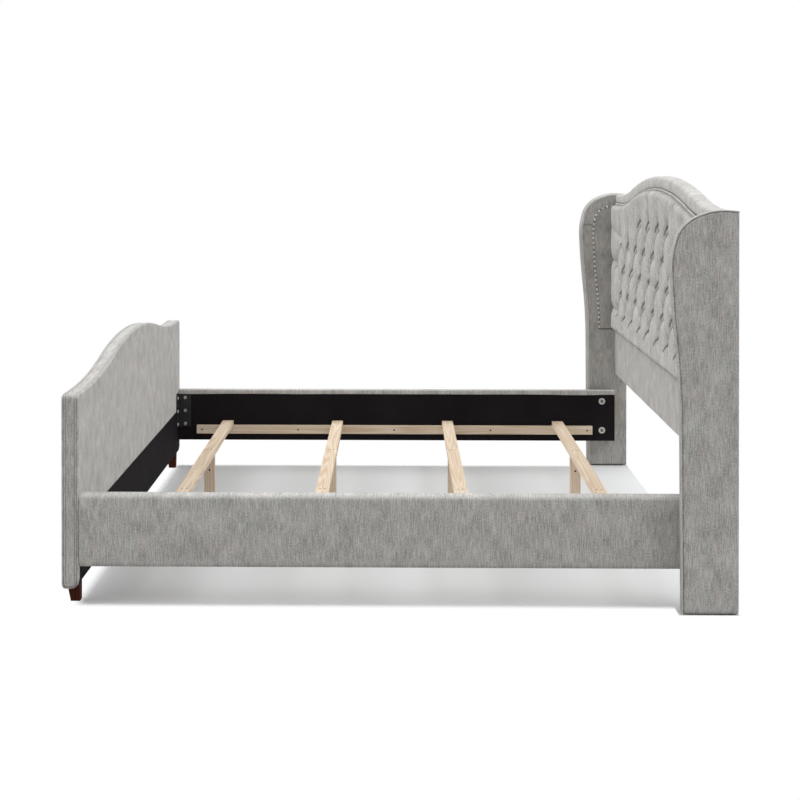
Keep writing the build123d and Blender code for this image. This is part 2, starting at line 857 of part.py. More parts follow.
with BuildPart() as corner_bracket:
    flange_x = foot_inner_x + bracket_flange
    flange_y = rail_inner_y - bracket_flange
    steel_x = foot_inner_x + bracket_steel
    steel_y = rail_inner_y - bracket_steel
    block(foot_inner_x, flange_x, steel_y, rail_inner_y, bracket_underside, bracket_top)
    block(foot_inner_x, steel_x, flange_y, rail_inner_y, bracket_underside, bracket_top)
    add(bracket_bolts_one_side.part, mode=Mode.SUBTRACT)
save_pair(corner_bracket, "corner_bracket")

with BuildPart() as bracket_bolts:
    add(bracket_bolts_one_side.part)
    mirror(bracket_bolts_one_side.part, about=Plane.XZ)
save(bracket_bolts, "bracket_bolts")


# Footboard: a board with padded faces, a banded edge and a black lining below the mattress line

footboard_line = camelback(
    rail_outer_y,
    footboard_shoulder_height,
    footboard_arch_height,
    footboard_outline_shares,
    rail_outer_y + trim_overrun,
)
footboard_welt = 2 * footboard_welt_radius
outer_pad_x = foot_x + footboard_pad
inner_pad_x = foot_inner_x - footboard_pad
footboard_top = footboard_shoulder_height + footboard_arch_height
lining_top = footboard_underside + footboard_lining_height
ear_top = bracket_top + footboard_ear_margin
core_half = rail_outer_y - footboard_welt


def footboard_area(inset):
    """The footboard's front-on area, moved in by inset at its top and ends."""
    with BuildSketch() as area:
        add(under_line(footboard_line, inset, rail_outer_y - inset, footboard_underside))
        top_corners = area.vertices().group_by(Axis.X)
        top_corners = [corners.sort_by(Axis.Y)[-1] for corners in (top_corners[0], top_corners[-1])]
        fillet(top_corners, radius=footboard_top_corner - inset)
    return area.sketch


def footboard_rim():
    """The line over the footboard's top and down both of its ends."""
    straight = rail_outer_y - footboard_top_corner
    top = camelback(
        rail_outer_y,
        footboard_shoulder_height,
        footboard_arch_height,
        footboard_outline_shares,
        straight,
    )
    with BuildLine() as rim:
        add(top)
        turn = JernArc((straight, footboard_shoulder_height), (1, 0), footboard_top_corner, -90)
        end = Line(turn @ 1, (rail_outer_y, footboard_underside + footboard_inner_corner))
        mirror([turn, end], about=Plane.YZ)
    return rim.edges()


def round_underside():
    """Cut a footboard piece to the board's section, whose lower corners are rounded."""
    with BuildSketch(side_plane(0)) as section:
        with Locations((foot_x, footboard_underside)):
            Rectangle(footboard_thickness, footboard_top, align=(Align.MIN, Align.MIN))
        low_corners = section.vertices().group_by(Axis.Y)[0].sort_by(Axis.X)
        fillet(low_corners[0], radius=footboard_outer_corner)
        low_corners = section.vertices().group_by(Axis.Y)[0].sort_by(Axis.X)
        fillet(low_corners[-1], radius=footboard_inner_corner)
    extrude(section.sketch, amount=2 * rail_outer_y, both=True, mode=Mode.INTERSECT)


def cut_leg_seats():
    """Make room for the tops of both legs, whose inner faces line up with the board's."""
    for side in (-1, 1):
        with Locations((leg_inner_x, side * (leg_inner_y + leg_top_width / 2), 0)):
            Box(
                leg_top_width,
                leg_top_width,
                leg_height,
                align=(Align.MAX, Align.CENTER, Align.MIN),
                mode=Mode.SUBTRACT,
            )


with BuildPart() as leg_bolts:
    add(leg_bolt.part)
    mirror(leg_bolt.part, about=Plane.XZ)
save(leg_bolts, "leg_bolts")

with BuildPart() as footboard_panel:
    front_slab(footboard_area(footboard_welt), outer_pad_x, inner_pad_x - outer_pad_x)
    round_underside()
    cut_leg_seats()
    add([leg_bolts.part, bracket_bolts.part], mode=Mode.SUBTRACT)
save(footboard_panel, "footboard_panel")

with BuildPart() as footboard_outer_pad:
    front_slab(footboard_area(0), foot_x, footboard_pad)
    outer_edges = footboard_outer_pad.faces().sort_by(Axis.X)[0].edges().group_by(Axis.Z)[1:]
    fillet(outer_edges, radius=footboard_pad_roll)
    round_underside()
save(footboard_outer_pad, "footboard_outer_pad")


def lining_area():
    """The lower inner face: full width, with an ear up each side where a corner bracket is fixed."""
    with BuildSketch() as area:
        with Locations((0, footboard_underside)):
            Rectangle(2 * rail_outer_y, footboard_lining_height, align=(Align.CENTER, Align.MIN))
        for side in (-1, 1):
            with Locations((side * (rail_outer_y - footboard_ear_width / 2), lining_top)):
                Rectangle(footboard_ear_width, ear_top - lining_top, align=(Align.CENTER, Align.MIN))
    return area.sketch


with BuildPart() as footboard_inner_pad:
    with BuildSketch(Plane.YZ.offset(inner_pad_x)):
        add(footboard_area(0))
        add(lining_area(), mode=Mode.SUBTRACT)
    extrude(amount=footboard_pad)
    rolled = footboard_inner_pad.faces().sort_by(Axis.X)[-1].edges()
    rolled = [edge for edge in rolled if edge.center().Z > ear_top or abs(edge.center().Y) > core_half]
    fillet(rolled, radius=footboard_pad_roll)
save(footboard_inner_pad, "footboard_inner_pad")

with BuildPart() as footboard_lining:
    front_slab(lining_area(), inner_pad_x, footboard_pad)
    round_underside()
    add(bracket_bolts.part, mode=Mode.SUBTRACT)
save(footboard_lining, "footboard_lining")

with BuildPart() as footboard_edge_band:
    with BuildSketch(Plane.YZ.offset(outer_pad_x + footboard_welt)):
        add(footboard_area(0))
        add(footboard_area(footboard_welt), mode=Mode.SUBTRACT)
    extrude(amount=inner_pad_x - outer_pad_x - 2 * footboard_welt)
    round_underside()
save(footboard_edge_band, "footboard_edge_band")

with BuildPart() as footboard_welts:
    for x in (outer_pad_x + footboard_welt_radius, inner_pad_x - footboard_welt_radius):
        welt_plane = Plane.YZ.offset(x)
        welt_along(footboard_rim(), footboard_welt_radius, (0, 0), welt_plane, footboard_welt_radius)
save(footboard_welts, "footboard_welts")

# Each leg tapers on its two outer faces and stands upright on its two inner ones

with BuildPart() as footboard_leg:
    for height, width in ((0, leg_foot_width), (leg_height, leg_top_width)):
        with BuildSketch(Plane((leg_inner_x, leg_inner_y, height))):
            Rectangle(width, width, align=(Align.MAX, Align.MIN))
    loft()
    add(leg_bolt.part, mode=Mode.SUBTRACT)
save_pair(footboard_leg, "footboard_leg")


# Slats, each on two legs of its own

slat_top = slat_underside + slat_thickness
slat_half = rail_inner_y - slat_end_gap

with BuildPart() as slat_screws:
    points = [
        (x + end * slat_screw_spread / 2, side * slat_leg_offset, slat_top)
        for x in slat_xs
        for end in (-1, 1)
        for side in (-1, 1)
    ]
    set_out(wood_screw(slat_screw_length), points, (0, 0, 1))
save(slat_screws, "slat_screws")

with BuildPart() as slat_leg_screws:
    points = [
        (x, side * slat_leg_offset - slat_leg_thickness / 2, leg_screw_height)
        for x in slat_xs
        for side in (-1, 1)
    ]
    set_out(wood_screw(leg_screw_length), points, towards_bay)
save(slat_leg_screws, "slat_leg_screws")

for number, x in enumerate(slat_xs, start=1):
    with BuildPart() as slat:
        block(x - slat_width / 2, x + slat_width / 2, -slat_half, slat_half, slat_underside, slat_top)
        add(slat_screws.part, mode=Mode.SUBTRACT)
    save(slat, f"slat_{number}")

    with BuildPart() as slat_legs:
        with Locations([(x, side * slat_leg_offset, 0) for side in (-1, 1)]):
            Box(
                slat_leg_width,
                slat_leg_thickness,
                slat_underside,
                align=(Align.CENTER, Align.CENTER, Align.MIN),
            )
        add([slat_screws.part, slat_leg_screws.part], mode=Mode.SUBTRACT)
    save(slat_legs, f"slat_{number}_legs")
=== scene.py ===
import math

import bpy
import numpy as np
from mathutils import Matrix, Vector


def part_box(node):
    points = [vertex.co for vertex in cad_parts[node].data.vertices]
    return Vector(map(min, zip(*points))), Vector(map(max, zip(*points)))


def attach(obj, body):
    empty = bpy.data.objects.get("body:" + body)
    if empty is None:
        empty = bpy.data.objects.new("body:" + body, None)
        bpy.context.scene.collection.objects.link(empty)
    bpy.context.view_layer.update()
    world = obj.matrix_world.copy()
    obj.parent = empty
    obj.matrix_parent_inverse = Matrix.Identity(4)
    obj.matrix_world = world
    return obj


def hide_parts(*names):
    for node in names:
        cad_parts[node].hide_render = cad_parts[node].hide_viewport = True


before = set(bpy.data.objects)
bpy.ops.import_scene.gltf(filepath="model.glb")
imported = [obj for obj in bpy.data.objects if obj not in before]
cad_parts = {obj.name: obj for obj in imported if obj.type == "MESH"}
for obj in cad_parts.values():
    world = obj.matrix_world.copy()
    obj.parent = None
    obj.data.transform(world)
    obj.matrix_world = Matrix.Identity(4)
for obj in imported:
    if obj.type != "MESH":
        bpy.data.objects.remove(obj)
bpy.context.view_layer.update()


# Camera
# The photograph is a level view from the right side, turned a little, with the lens shifted down so that
# the uprights stay parallel.

camera_data = bpy.data.cameras.new("camera")
camera_data.sensor_width = 36.0
camera_data.lens = 60.773
camera_data.shift_x = 0.0295
camera_data.shift_y = -0.2897
camera_data.clip_end = 200.0
camera = bpy.data.objects.new("camera", camera_data)
camera.location = (-0.0005, -5.365, 1.4449)
camera.rotation_euler = (math.radians(89.627), 0, math.radians(0.849))
bpy.context.scene.collection.objects.link(camera)
bpy.context.scene.camera = camera
bpy.context.scene.view_settings.view_transform = "Standard"


# Studio
# The floor is a grey sheet that is shown only under the bed and under its wings, and it fades into a white
# backdrop just outside them. So it is a painted shadow of the bed, which the lamps light too. Daylight-like
# softboxes stand on the left, on the right and overhead.


class Thread:
    """A shader socket. Sums, differences and products with it add Math nodes."""

    def __init__(self, finish, socket):
        self.finish = finish
        self.socket = socket

    def __add__(self, other):
        return self.finish.maths("ADD", self, other)

    def __radd__(self, other):
        return self.finish.maths("ADD", other, self)

    def __sub__(self, other):
        return self.finish.maths("SUBTRACT", self, other)

    def __rsub__(self, other):
        return self.finish.maths("SUBTRACT", other, self)

    def __mul__(self, other):
        return self.finish.maths("MULTIPLY", self, other)

    def __rmul__(self, other):
        return self.finish.maths("MULTIPLY", other, self)


class Finish:
    """A material being mixed, which adds its own nodes."""

    def __init__(self, name, **constants):
        self.material = bpy.data.materials.new(name)
        self.material.use_nodes = True
        self.tree = self.material.node_tree
        self.shader = self.tree.nodes["Principled BSDF"]
        for socket, value in constants.items():
            self.shader.inputs[socket.replace("_", " ")].default_value = value

    def feed(self, socket, value):
        """Link a thread to a socket, or set a plain value on it."""
        if isinstance(value, Thread):
            self.tree.links.new(value.socket, socket)
        else:
            socket.default_value = value

    def add(self, kind, settings=None, inputs=None, output=0):
        """Any node: its settings first, then the values or links of its sockets."""
        node = self.tree.nodes.new(kind)
        for name, value in (settings or {}).items():
            if name == "stops":
                ramp = node.color_ramp
                ramp.elements[0].position, ramp.elements[0].color = value[0][0], (*value[0][1], 1)
                ramp.elements[1].position, ramp.elements[1].color = value[-1][0], (*value[-1][1], 1)
                for place, colour in value[1:-1]:
                    ramp.elements.new(place).color = (*colour, 1)
            else:
                setattr(node, name, value)
        for name, value in (inputs or {}).items():
            self.feed(node.inputs[name], value)
        return Thread(self, node.outputs[output])

    def maths(self, operation, first, second=0.0):
        """One step of arithmetic on threads or numbers."""
        return self.add("ShaderNodeMath", {"operation": operation}, {0: first, 1: second})

    def place(self):
        """The place on the piece, in metres."""
        return self.add("ShaderNodeTexCoord", output=3)

    def part(self, vector, axis):
        """One coordinate of a vector."""
        return self.add("ShaderNodeSeparateXYZ", None, {0: vector}, axis)

    def stretched(self, vector, scale):
        """A place multiplied by a scale for each axis."""
        return self.add("ShaderNodeVectorMath", {"operation": "MULTIPLY"}, {0: vector, 1: scale})

    def noise(self, vector, scale, detail=2.0, roughness=0.5):
        """Noise between 0 and 1 that is stretched by a scale for each axis, in cycles to the metre."""
        return self.add(
            "ShaderNodeTexNoise",
            None,
            {"Vector": self.stretched(vector, scale), "Scale": 1.0, "Detail": detail, "Roughness": roughness},
        )

    def ramp(self, value, *stops):
        """A colour for each value between 0 and 1, from (value, colour) stops."""
        return self.add("ShaderNodeValToRGB", {"stops": stops}, {"Fac": value})

    def blend(self, factor, first, second, how="MIX"):
        """Two colours mixed by a factor."""
        return self.add(
            "ShaderNodeMix",
            {"data_type": "RGBA", "blend_type": how},
            {"Factor": factor, 6: first, 7: second},
            output=2,
        )

    def done(self, colour, roughness=None, height=None, depth=0.001):
        """Join the colour, the roughness and a bump of some depth in metres to the shader."""
        self.feed(self.shader.inputs["Base Color"], colour)
        if roughness is not None:
            self.feed(self.shader.inputs["Roughness"], roughness)
        if height is not None:
            bump = self.add("ShaderNodeBump", None, {"Height": height, "Distance": depth, "Strength": 1.0})
            self.feed(self.shader.inputs["Normal"], bump)
        return self.material


def smooth_step(finish, value, low, high):
    """0 at low and 1 at high, with a soft change between them."""
    return finish.add(
        "ShaderNodeMapRange",
        {"interpolation_type": "SMOOTHSTEP"},
        {"Value": value, "From Min": low, "From Max": high},
    )


def within(finish, place, axis, reach, fade):
    """1 between two places on an axis, and 0 outside them, with a soft change at both."""
    low, high = reach
    value = finish.part(place, axis)
    inside = smooth_step(finish, value, low - fade, low + fade)
    return inside * smooth_step(finish, value, high + fade, high - fade)


def shade_patch(finish, place, reach_x, reach_y, fade):
    """1 on a rectangle of the floor where the painted shadow lies, and 0 around it."""
    return within(finish, place, 0, reach_x, fade) * within(finish, place, 1, reach_y, fade)


painted_shadow_grey = (0.64, 0.64, 0.64, 1)
soft_fade = 0.022
sharp_fade = 0.003
floor_finish = Finish("studio_floor", Roughness=0.9, Specular_IOR_Level=0.1)
floor_place = floor_finish.place()
# Painted shadow: the grey floor is shown only on the bed's footprint, with a soft edge, and right under the
# wings, with a sharp one.
bed_painted_shadow = shade_patch(floor_finish, floor_place, (-1.035, 1.068), (-1.008, 1.0), soft_fade)
wing_painted_shadow = shade_patch(floor_finish, floor_place, (0.896, 1.087), (-1.082, 1.082), sharp_fade)
painted_shadow_mask = floor_finish.maths("MAXIMUM", bed_painted_shadow, wing_painted_shadow)
floor_finish.feed(floor_finish.shader.inputs["Alpha"], painted_shadow_mask)
floor_half = 60.0
floor_corners = [(-floor_half, -floor_half, 0), (floor_half, -floor_half, 0)]
floor_corners += [(floor_half, floor_half, 0), (-floor_half, floor_half, 0)]
floor_mesh = bpy.data.meshes.new("floor")
floor_mesh.from_pydata(floor_corners, [], [(0, 1, 2, 3)])
floor_mesh.materials.append(floor_finish.done(painted_shadow_grey))
floor = bpy.data.objects.new("floor", floor_mesh)
bpy.context.scene.collection.objects.link(floor)

room_strength = 0.47
world = bpy.data.worlds.new("studio")
bpy.context.scene.world = world
world.use_nodes = True
room = world.node_tree.nodes["Background"]
room.inputs["Color"].default_value = (1, 1, 1, 1)
room.inputs["Strength"].default_value = room_strength
backdrop = world.node_tree.nodes.new("ShaderNodeBackground")
backdrop.inputs["Color"].default_value = (1, 1, 1, 1)
seen = world.node_tree.nodes.new("ShaderNodeLightPath")
either = world.node_tree.nodes.new("ShaderNodeMixShader")
world.node_tree.links.new(seen.outputs["Is Camera Ray"], either.inputs["Fac"])
world.node_tree.links.new(room.outputs["Background"], either.inputs[1])
world.node_tree.links.new(backdrop.outputs["Background"], either.inputs[2])
world.node_tree.links.new(either.outputs["Shader"], world.node_tree.nodes["World Output"].inputs["Surface"])

daylight = (0.965, 0.985, 1.0)


def softbox(name, strength, spread, azimuth, height):
    """A large soft light far away: azimuth from +X towards +Y, and height above the floor, in degrees."""
    light = bpy.data.lights.new(name, "SUN")
    light.energy = strength
    light.color = daylight
    light.angle = math.radians(spread)
    lamp = bpy.data.objects.new(name, light)
    lamp.rotation_euler = (0, math.radians(90 - height), math.radians(azimuth))
    bpy.context.scene.collection.objects.link(lamp)


softbox("left_softbox", 1.95, 50, 180, 42)
softbox("right_softbox", 1.55, 50, -14, 45)
softbox("top_softbox", 0.85, 60, 90, 84)


# Headboard outline
# The camelback top is a crown arc that falls on both sides into level shoulders. The border's top edge
# follows one such line and the welt another.


def camelback(half, shoulder, arch, knee_share, end_share):
    """The height of a camelback line as a function of the distance from the middle."""
    knee, end = half * knee_share, half * end_share
    crown_drop = arch * knee_share / end_share
    fall_drop = arch - crown_drop
    crown_radius = (knee**2 + crown_drop**2) / (2 * crown_drop)
    fall_radius = ((end - knee) ** 2 + fall_drop**2) / (2 * fall_drop)

    def height(y):
        """The line's height at a place across the bed."""
        y = np.abs(y)
        crown = shoulder + arch - crown_radius + np.sqrt(np.maximum(crown_radius**2 - y**2, 0))
        fall = shoulder + fall_radius - np.sqrt(fall_radius**2 - np.clip(end - y, 0, end - knee) ** 2)
        return np.where(y < knee, crown, fall)

    return height


border_low, border_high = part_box("headboard_border")
welt_low, welt_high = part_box("headboard_welt")
panel_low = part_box("headboard_panel")[0]
head_half = border_high.y
head_arch = 0.099
head_shares = (0.595, 0.96)
crest_drop = 0.002
welt_arch = 0.090
welt_shares = (0.510, 0.867)
welt_radius = 0.0045
headboard_top = camelback(head_half, border_high.z - crest_drop - head_arch, head_arch, *head_shares)
welt_line = camelback(head_half, welt_high.z - welt_radius - welt_arch, welt_arch, *welt_shares)


# Upholstery
# All the padding is covered in one warm grey chenille. Its warp is slubbed, so that short lighter and darker
# streaks run along it, and its pile is brushed into faint taupe and green-grey patches. Painted shade darkens
# it in seams and folds, and some pieces get lighter or darker copies of it, as painted light and shade.

cloth_light = (0.66, 0.64, 0.615)
cloth_mid = (0.50, 0.484, 0.466)
cloth_dark = (0.33, 0.315, 0.30)
seam_shadow = (0.035, 0.032, 0.030)
taupe = (1.018, 0.997, 0.98)
green_grey = (0.98, 1.0, 0.992)
thread_pitch = 0.0016
pile_depth = 0.0009


def tinted(colour, share):
    """A colour made darker or lighter by a share."""
    return tuple(part * share for part in colour)


def chenille(name, tint=1.0):
    """Chenille over the "cloth" coordinates: metres across and along the warp, and a share of painted shade.
    """
    finish = Finish(name, Sheen_Weight=0.2, Sheen_Roughness=0.5, Specular_IOR_Level=0.15)
    cloth = finish.add("ShaderNodeAttribute", {"attribute_name": "cloth"}, output=1)
    slub = finish.noise(cloth, (270, 24, 0), 3, 0.6)
    thread = finish.noise(cloth, (260, 190, 0), 3, 0.7)
    streak = finish.noise(cloth, (90, 6, 0), 2, 0.5)
    cloud = finish.noise(cloth, (18, 12, 0), 2, 0.55)
    shade = slub * 0.85 + thread * 0.95 + streak * 0.12 + cloud * 0.38 - 0.65
    colour = finish.ramp(
        shade,
        (0.31, tinted(cloth_dark, tint)),
        (0.50, tinted(cloth_mid, tint)),
        (0.69, tinted(cloth_light, tint)),
    )
    hue = finish.ramp(finish.noise(cloth, (24, 12, 0), 2, 0.6), (0.40, taupe), (0.60, green_grey))
    colour = finish.blend(1.0, colour, hue, "MULTIPLY")
    # Painted shade: the cloth's third coordinate mixes in the dark seam_shadow colour.
    colour = finish.blend(finish.part(cloth, 2), colour, (*seam_shadow, 1))
    turns = 2 * math.pi / thread_pitch
    weave = finish.stretched(cloth, (turns, turns * 0.8, 0))
    over, under = [finish.maths("SINE", finish.part(weave, axis)) for axis in (0, 1)]
    height = over * under * 0.22 + slub * 0.8 + thread * 1.1
    return finish.done(colour, 0.97 - cloud * 0.12, height, pile_depth)


upholstery = chenille("upholstery_chenille")


# Tufted pad
# Deep foam under chenille that is drawn down by hidden ties at 42 places, so that the cloth folds into
# diamonds between them. Soft pleats run from the outer ties to the welt, the lower edge and the sides.

pad_low, pad_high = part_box("tufted_pad")
pad_half = pad_high.y
pad_back = pad_high.x
pad_thick = pad_high.x - pad_low.x
pad_height = welt_line(pad_half) - pad_low.z
tie_depth = 0.042
fold_depth = 0.026
edge_roll = 0.026
pad_corner = 0.024
crown_clearance = 0.001
fold_fill_share = 0.72
least_stand = 0.002
tuft_unevenness = 0.02
tuft_seam_width = 0.003
tuft_seam_shade = 0.6
stroke_shade = 0.95
crease_shade = 0.36
tie_shade = 0.34
first_row_share = 0.18
row_pitch_share = 0.188
tie_pitch_share = 0.188
tie_pitch = pad_half * tie_pitch_share
half_tie = tie_pitch / 2
row_pitch = pad_height * row_pitch_share
rows_of_ties = [pad_low.z + pad_height * first_row_share + number * row_pitch for number in range(5)]
half_row = [tie_pitch * (number + 0.5) for number in range(5)]
whole_row = [tie_pitch * number for number in range(5)]


def both_sides(places):
    """Places from the middle to one end, mirrored and sorted."""
    return sorted({side * place for place in places for side in (-1, 1)})


tie_rows = [both_sides(places) for places in (half_row, whole_row, half_row, whole_row, half_row[:2])]
ties = [(y, z) for z, places in zip(rows_of_ties, tie_rows) for y in places]


def pad_folds():
    """Every fold of the pad: its points, its strength at both ends, and how softly its sides rise."""
    folds = []
    tied_rows = list(zip(rows_of_ties, tie_rows))
    for (z, row), (z_above, row_above) in zip(tied_rows, tied_rows[1:]):
        for y in row:
            for y_above in row_above:
                if abs(abs(y_above - y) - half_tie) < half_tie / 10:
                    folds.append(([(y, z), (y_above, z_above)], (1, 1), 0.62))
    bottom, _, middle, upper, top = rows_of_ties
    for y in tie_rows[0]:
        folds.append(([(y, bottom), (y * 1.002, pad_low.z)], (1, 0.55), 1.2))
    for y in tie_rows[4]:
        folds.append(([(y, top), (y * 0.99, welt_line(y))], (1, 0.5), 1.36))
    for y in both_sides(whole_row[3:]):
        folds.append(([(y, upper), (y * 0.995, welt_line(y))], (1, 0.45), 1.36))
    for side in (-1, 1):
        bend = [(0, 0), (0.030, 0.055), (0.034, 0.105)]
        points = [(side * (whole_row[2] + across), upper + up) for across, up in bend]
        welt_end = whole_row[2] * 1.03
        points.append((side * welt_end, welt_line(welt_end)))
        folds.append((points, (1, 0.75), 0.62))
        for z in (bottom, middle):
            folds.append(([(side * half_row[4], z), (side * pad_half, z + 0.004)], (1, 0.5), 1.28))
        folds.append(([(side * whole_row[4], upper), (side * pad_half, upper + 0.05)], (1, 0.1), 1.6))
    return folds


def segment_distance(y, z, start, end):
    """Distance of every point from a straight stretch, and the share of the stretch next to it."""
    run, rise = end[0] - start[0], end[1] - start[1]
    share = ((y - start[0]) * run + (z - start[1]) * rise) / (run**2 + rise**2)
    share = np.clip(share, 0, 1)
    return np.hypot(y - start[0] - share * run, z - start[1] - share * rise), share


def ripple(a, b, wavelength, seed):
    """A soft unevenness between about -1 and 1, from a few seeded waves."""
    waves = 7
    usual_peak = 3.2
    rng = np.random.default_rng(seed)
    total = np.zeros(np.broadcast(a, b).shape)
    for _ in range(waves):
        angle = rng.uniform(0, 2 * math.pi)
        turns = 2 * math.pi / (wavelength * rng.uniform(0.7, 1.6))
        phase = rng.uniform(0, 2 * math.pi)
        total = total + np.sin((a * math.cos(angle) + b * math.sin(angle)) * turns + phase)
    return total / usual_peak


fold_wander = 0.0022
fold_width = 0.027
crease_width = 0.0065


def pad_swell(y, z):
    """How far the cloth stands above the ties, 0 at a tie and 1 at a crown, and how near each fold is."""
    rng = np.random.default_rng(7)
    y = y + fold_wander * ripple(y, z, 0.16, 3)
    z = z + fold_wander * ripple(y, z, 0.13, 4)
    swell = np.ones_like(y)
    crease = np.zeros_like(y)
    for points, strength, softness in pad_folds():
        length = sum(math.dist(a, b) for a, b in zip(points, points[1:]))
        done = 0.0
        nearest = np.full(y.shape, np.inf)
        place = np.zeros(y.shape)
        for start, end in zip(points, points[1:]):
            distance, share = segment_distance(y, z, start, end)
            step = math.dist(start, end)
            closer = distance < nearest
            nearest = np.where(closer, distance, nearest)
            place = np.where(closer, (done + share * step) / length, place)
            done += step
        width = fold_width * rng.uniform(0.85, 1.15)
        depth = strength[0] + (strength[1] - strength[0]) * place
        swell = swell * (1 - depth * (1 - np.tanh(nearest / width) ** softness))
        crease = np.maximum(crease, depth * np.exp(-((nearest / crease_width) ** 2)))
    return swell, crease


dip_reach = 0.034
pucker_reach = 0.016
pucker_height = 0.0011
pit_depth = 0.003
pit_width = 0.0034
pit_ends = ((0.048, -0.034), (0.013, 0.016))


def tie_dip(y, z):
    """How much the ties draw the cloth down, the small puckers that they raise, and their deepest folds."""
    rng = np.random.default_rng(11)
    dip = np.zeros_like(y)
    pucker = np.zeros_like(y)
    pit = np.zeros_like(y)
    for tie_y, tie_z in ties:
        distance = np.hypot(y - tie_y, z - tie_z)
        angle = np.arctan2(z - tie_z, y - tie_y)
        dip = np.maximum(dip, np.exp(-((distance / dip_reach) ** 2)))
        fans = rng.integers(5, 9)
        phase = rng.uniform(0, 2 * math.pi)
        ring = distance / pucker_reach * np.exp(1 - distance / pucker_reach)
        pucker = pucker + np.cos(angle * fans + phase) * ring * rng.uniform(0.5, 1.1)
        reach = rng.uniform(0.8, 1.2)
        ends = [(tie_y + across * reach, tie_z + up * reach) for across, up in pit_ends]
        pit = np.maximum(pit, np.exp(-((segment_distance(y, z, *ends)[0] / pit_width) ** 2)))
    return dip, pucker, pit


def soft_edge(gap, radius):
    """The height of a rolled edge, from 0 at the edge to 1 where the pad is flat."""
    return np.sqrt(1 - (1 - np.clip(gap / radius, 0, 1)) ** 2)


def grid_faces(rows, columns, wrap=False):
    """Four-cornered faces between the points of a grid, closed along its rows if it wraps."""
    faces = []
    last = columns if wrap else columns - 1
    for row in range(rows - 1):
        for column in range(last):
            after = (column + 1) % columns
            low, high = row * columns, (row + 1) * columns
            faces.append((low + column, low + after, high + after, high + column))
    return faces


def finish_mesh(name, vertices, faces, cloth, material, crease=50.0):
    """Make the object of a piece, with the place of every point on its cloth, and let it ride the bed."""
    mesh = bpy.data.meshes.new(name)
    mesh.from_pydata([tuple(v) for v in vertices], [], faces)
    mesh.attributes.new("cloth", "FLOAT_VECTOR", "POINT")
    mesh.attributes["cloth"].data.foreach_set("vector", np.asarray(cloth, np.float32).ravel())
    mesh.shade_smooth()
    mesh.set_sharp_from_angle(angle=math.radians(crease))
    mesh.materials.append(material)
    piece = bpy.data.objects.new(name, mesh)
    bpy.context.scene.collection.objects.link(piece)
    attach(piece, "root")
    return piece


def sewn_pad(name, points, material, cloth, flip=False, crease=50.0):
    """A pad: a grid of points whose border lies on the board behind it, closed there by one flat face."""
    rows, columns = points.shape[:2]
    faces = grid_faces(rows, columns)
    border = list(range(columns))
    border += [row * columns + columns - 1 for row in range(1, rows)]
    border += [(rows - 1) * columns + column for column in range(columns - 2, -1, -1)]
    border += [row * columns for row in range(rows - 2, 0, -1)]
    faces.append(tuple(reversed(border)))
    if flip:
        faces = [tuple(reversed(face)) for face in faces]
    return finish_mesh(name, points.reshape(-1, 3), faces, cloth.reshape(-1, 3), material, crease)


def face_cloth(points, start=(0.0, 0.0), seam=0.0):
    """Cloth coordinates on a face across the bed: warp upright, edges laid flat, and seam as painted shade.
    """
    depth = np.abs(points[:, :, 0] - points[:, :, 0].mean())
    across, along = points[:, :, 1] + start[0], points[:, :, 2] + depth + start[1]
    return np.stack([across, along, seam + 0 * depth], axis=2)


pad_columns = np.linspace(-pad_half, pad_half, 561)
near_edge = 0.03
pad_rows = np.concatenate(
    [
        np.linspace(0, near_edge, 9)[:-1],
        np.linspace(near_edge, 1 - near_edge, 165),
        np.linspace(1 - near_edge, 1, 9)[1:],
    ]
)
past_corner = np.maximum(np.abs(pad_columns) - pad_half + pad_corner, 0)
lowest = pad_low.z + pad_corner - np.sqrt(np.maximum(pad_corner**2 - past_corner**2, 0))
highest = welt_line(pad_columns) - welt_radius * 0.6
pad_y = np.broadcast_to(pad_columns, (len(pad_rows), len(pad_columns))).copy()
pad_z = lowest + (highest - lowest) * pad_rows[:, None]
side_gap = pad_half - np.abs(pad_y)
corner_gap = pad_corner - np.hypot(pad_corner - side_gap, pad_low.z + pad_corner - pad_z)
in_corner = (side_gap < pad_corner) & (pad_z < pad_low.z + pad_corner)
low_gap = np.where(in_corner, corner_gap, np.minimum(pad_z - lowest, side_gap))
top_gap = np.maximum(highest - pad_z, 0)
swell, crease = pad_swell(pad_y, pad_z)
dip, pucker, pit = tie_dip(pad_y, pad_z)
crown = pad_thick - crown_clearance
fold_floor = pad_thick - tie_depth + fold_depth * (1 - dip) * fold_fill_share
stand = fold_floor + (crown - fold_floor) * swell
stand = stand * (1 + tuft_unevenness * ripple(pad_y, pad_z, 0.35, 5))
stand = stand + pucker * pucker_height - pit_depth * pit
seam_depth = pad_back - (welt_low.x + welt_high.x) / 2
stand = seam_depth + (stand - seam_depth) * soft_edge(top_gap, edge_roll)
stand = np.maximum(stand, least_stand) * soft_edge(np.maximum(low_gap, 0), edge_roll)
pad_points = np.stack([pad_back - stand, pad_y, pad_z], axis=2)
# Painted shade: the cloth is darkened in the pits beside the ties, along the folds and under the welt.
pad_painted_shade = np.maximum(stroke_shade * pit, crease * (crease_shade + tie_shade * dip))
pad_painted_shade = np.maximum(pad_painted_shade, tuft_seam_shade * np.exp(-((top_gap / tuft_seam_width) ** 2)))
pad_cloth = face_cloth(pad_points, seam=pad_painted_shade)
tufted_pad = sewn_pad(
    "tufted_pad_cloth", pad_points, upholstery, pad_cloth, flip=True, crease=80
)
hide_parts("tufted_pad")


# Headboard welt
# A cord covered in the same cloth, sewn into the seam between the tufted pad and the border. It follows
# that seam over the camelback, from one wing to the other.


def cloth_coordinates(points, across=1, along=0):
    """Distances over a grid of points, across and along the warp, as a tailor would measure them."""
    measures = []
    for axis in (across, along):
        steps = np.linalg.norm(np.diff(points, axis=axis), axis=2)
        start = [(0, 0), (0, 0)]
        start[axis] = (1, 0)
        measures.append(np.pad(np.cumsum(steps, axis=axis), start))
    return np.stack([*measures, np.zeros_like(measures[0])], axis=2)


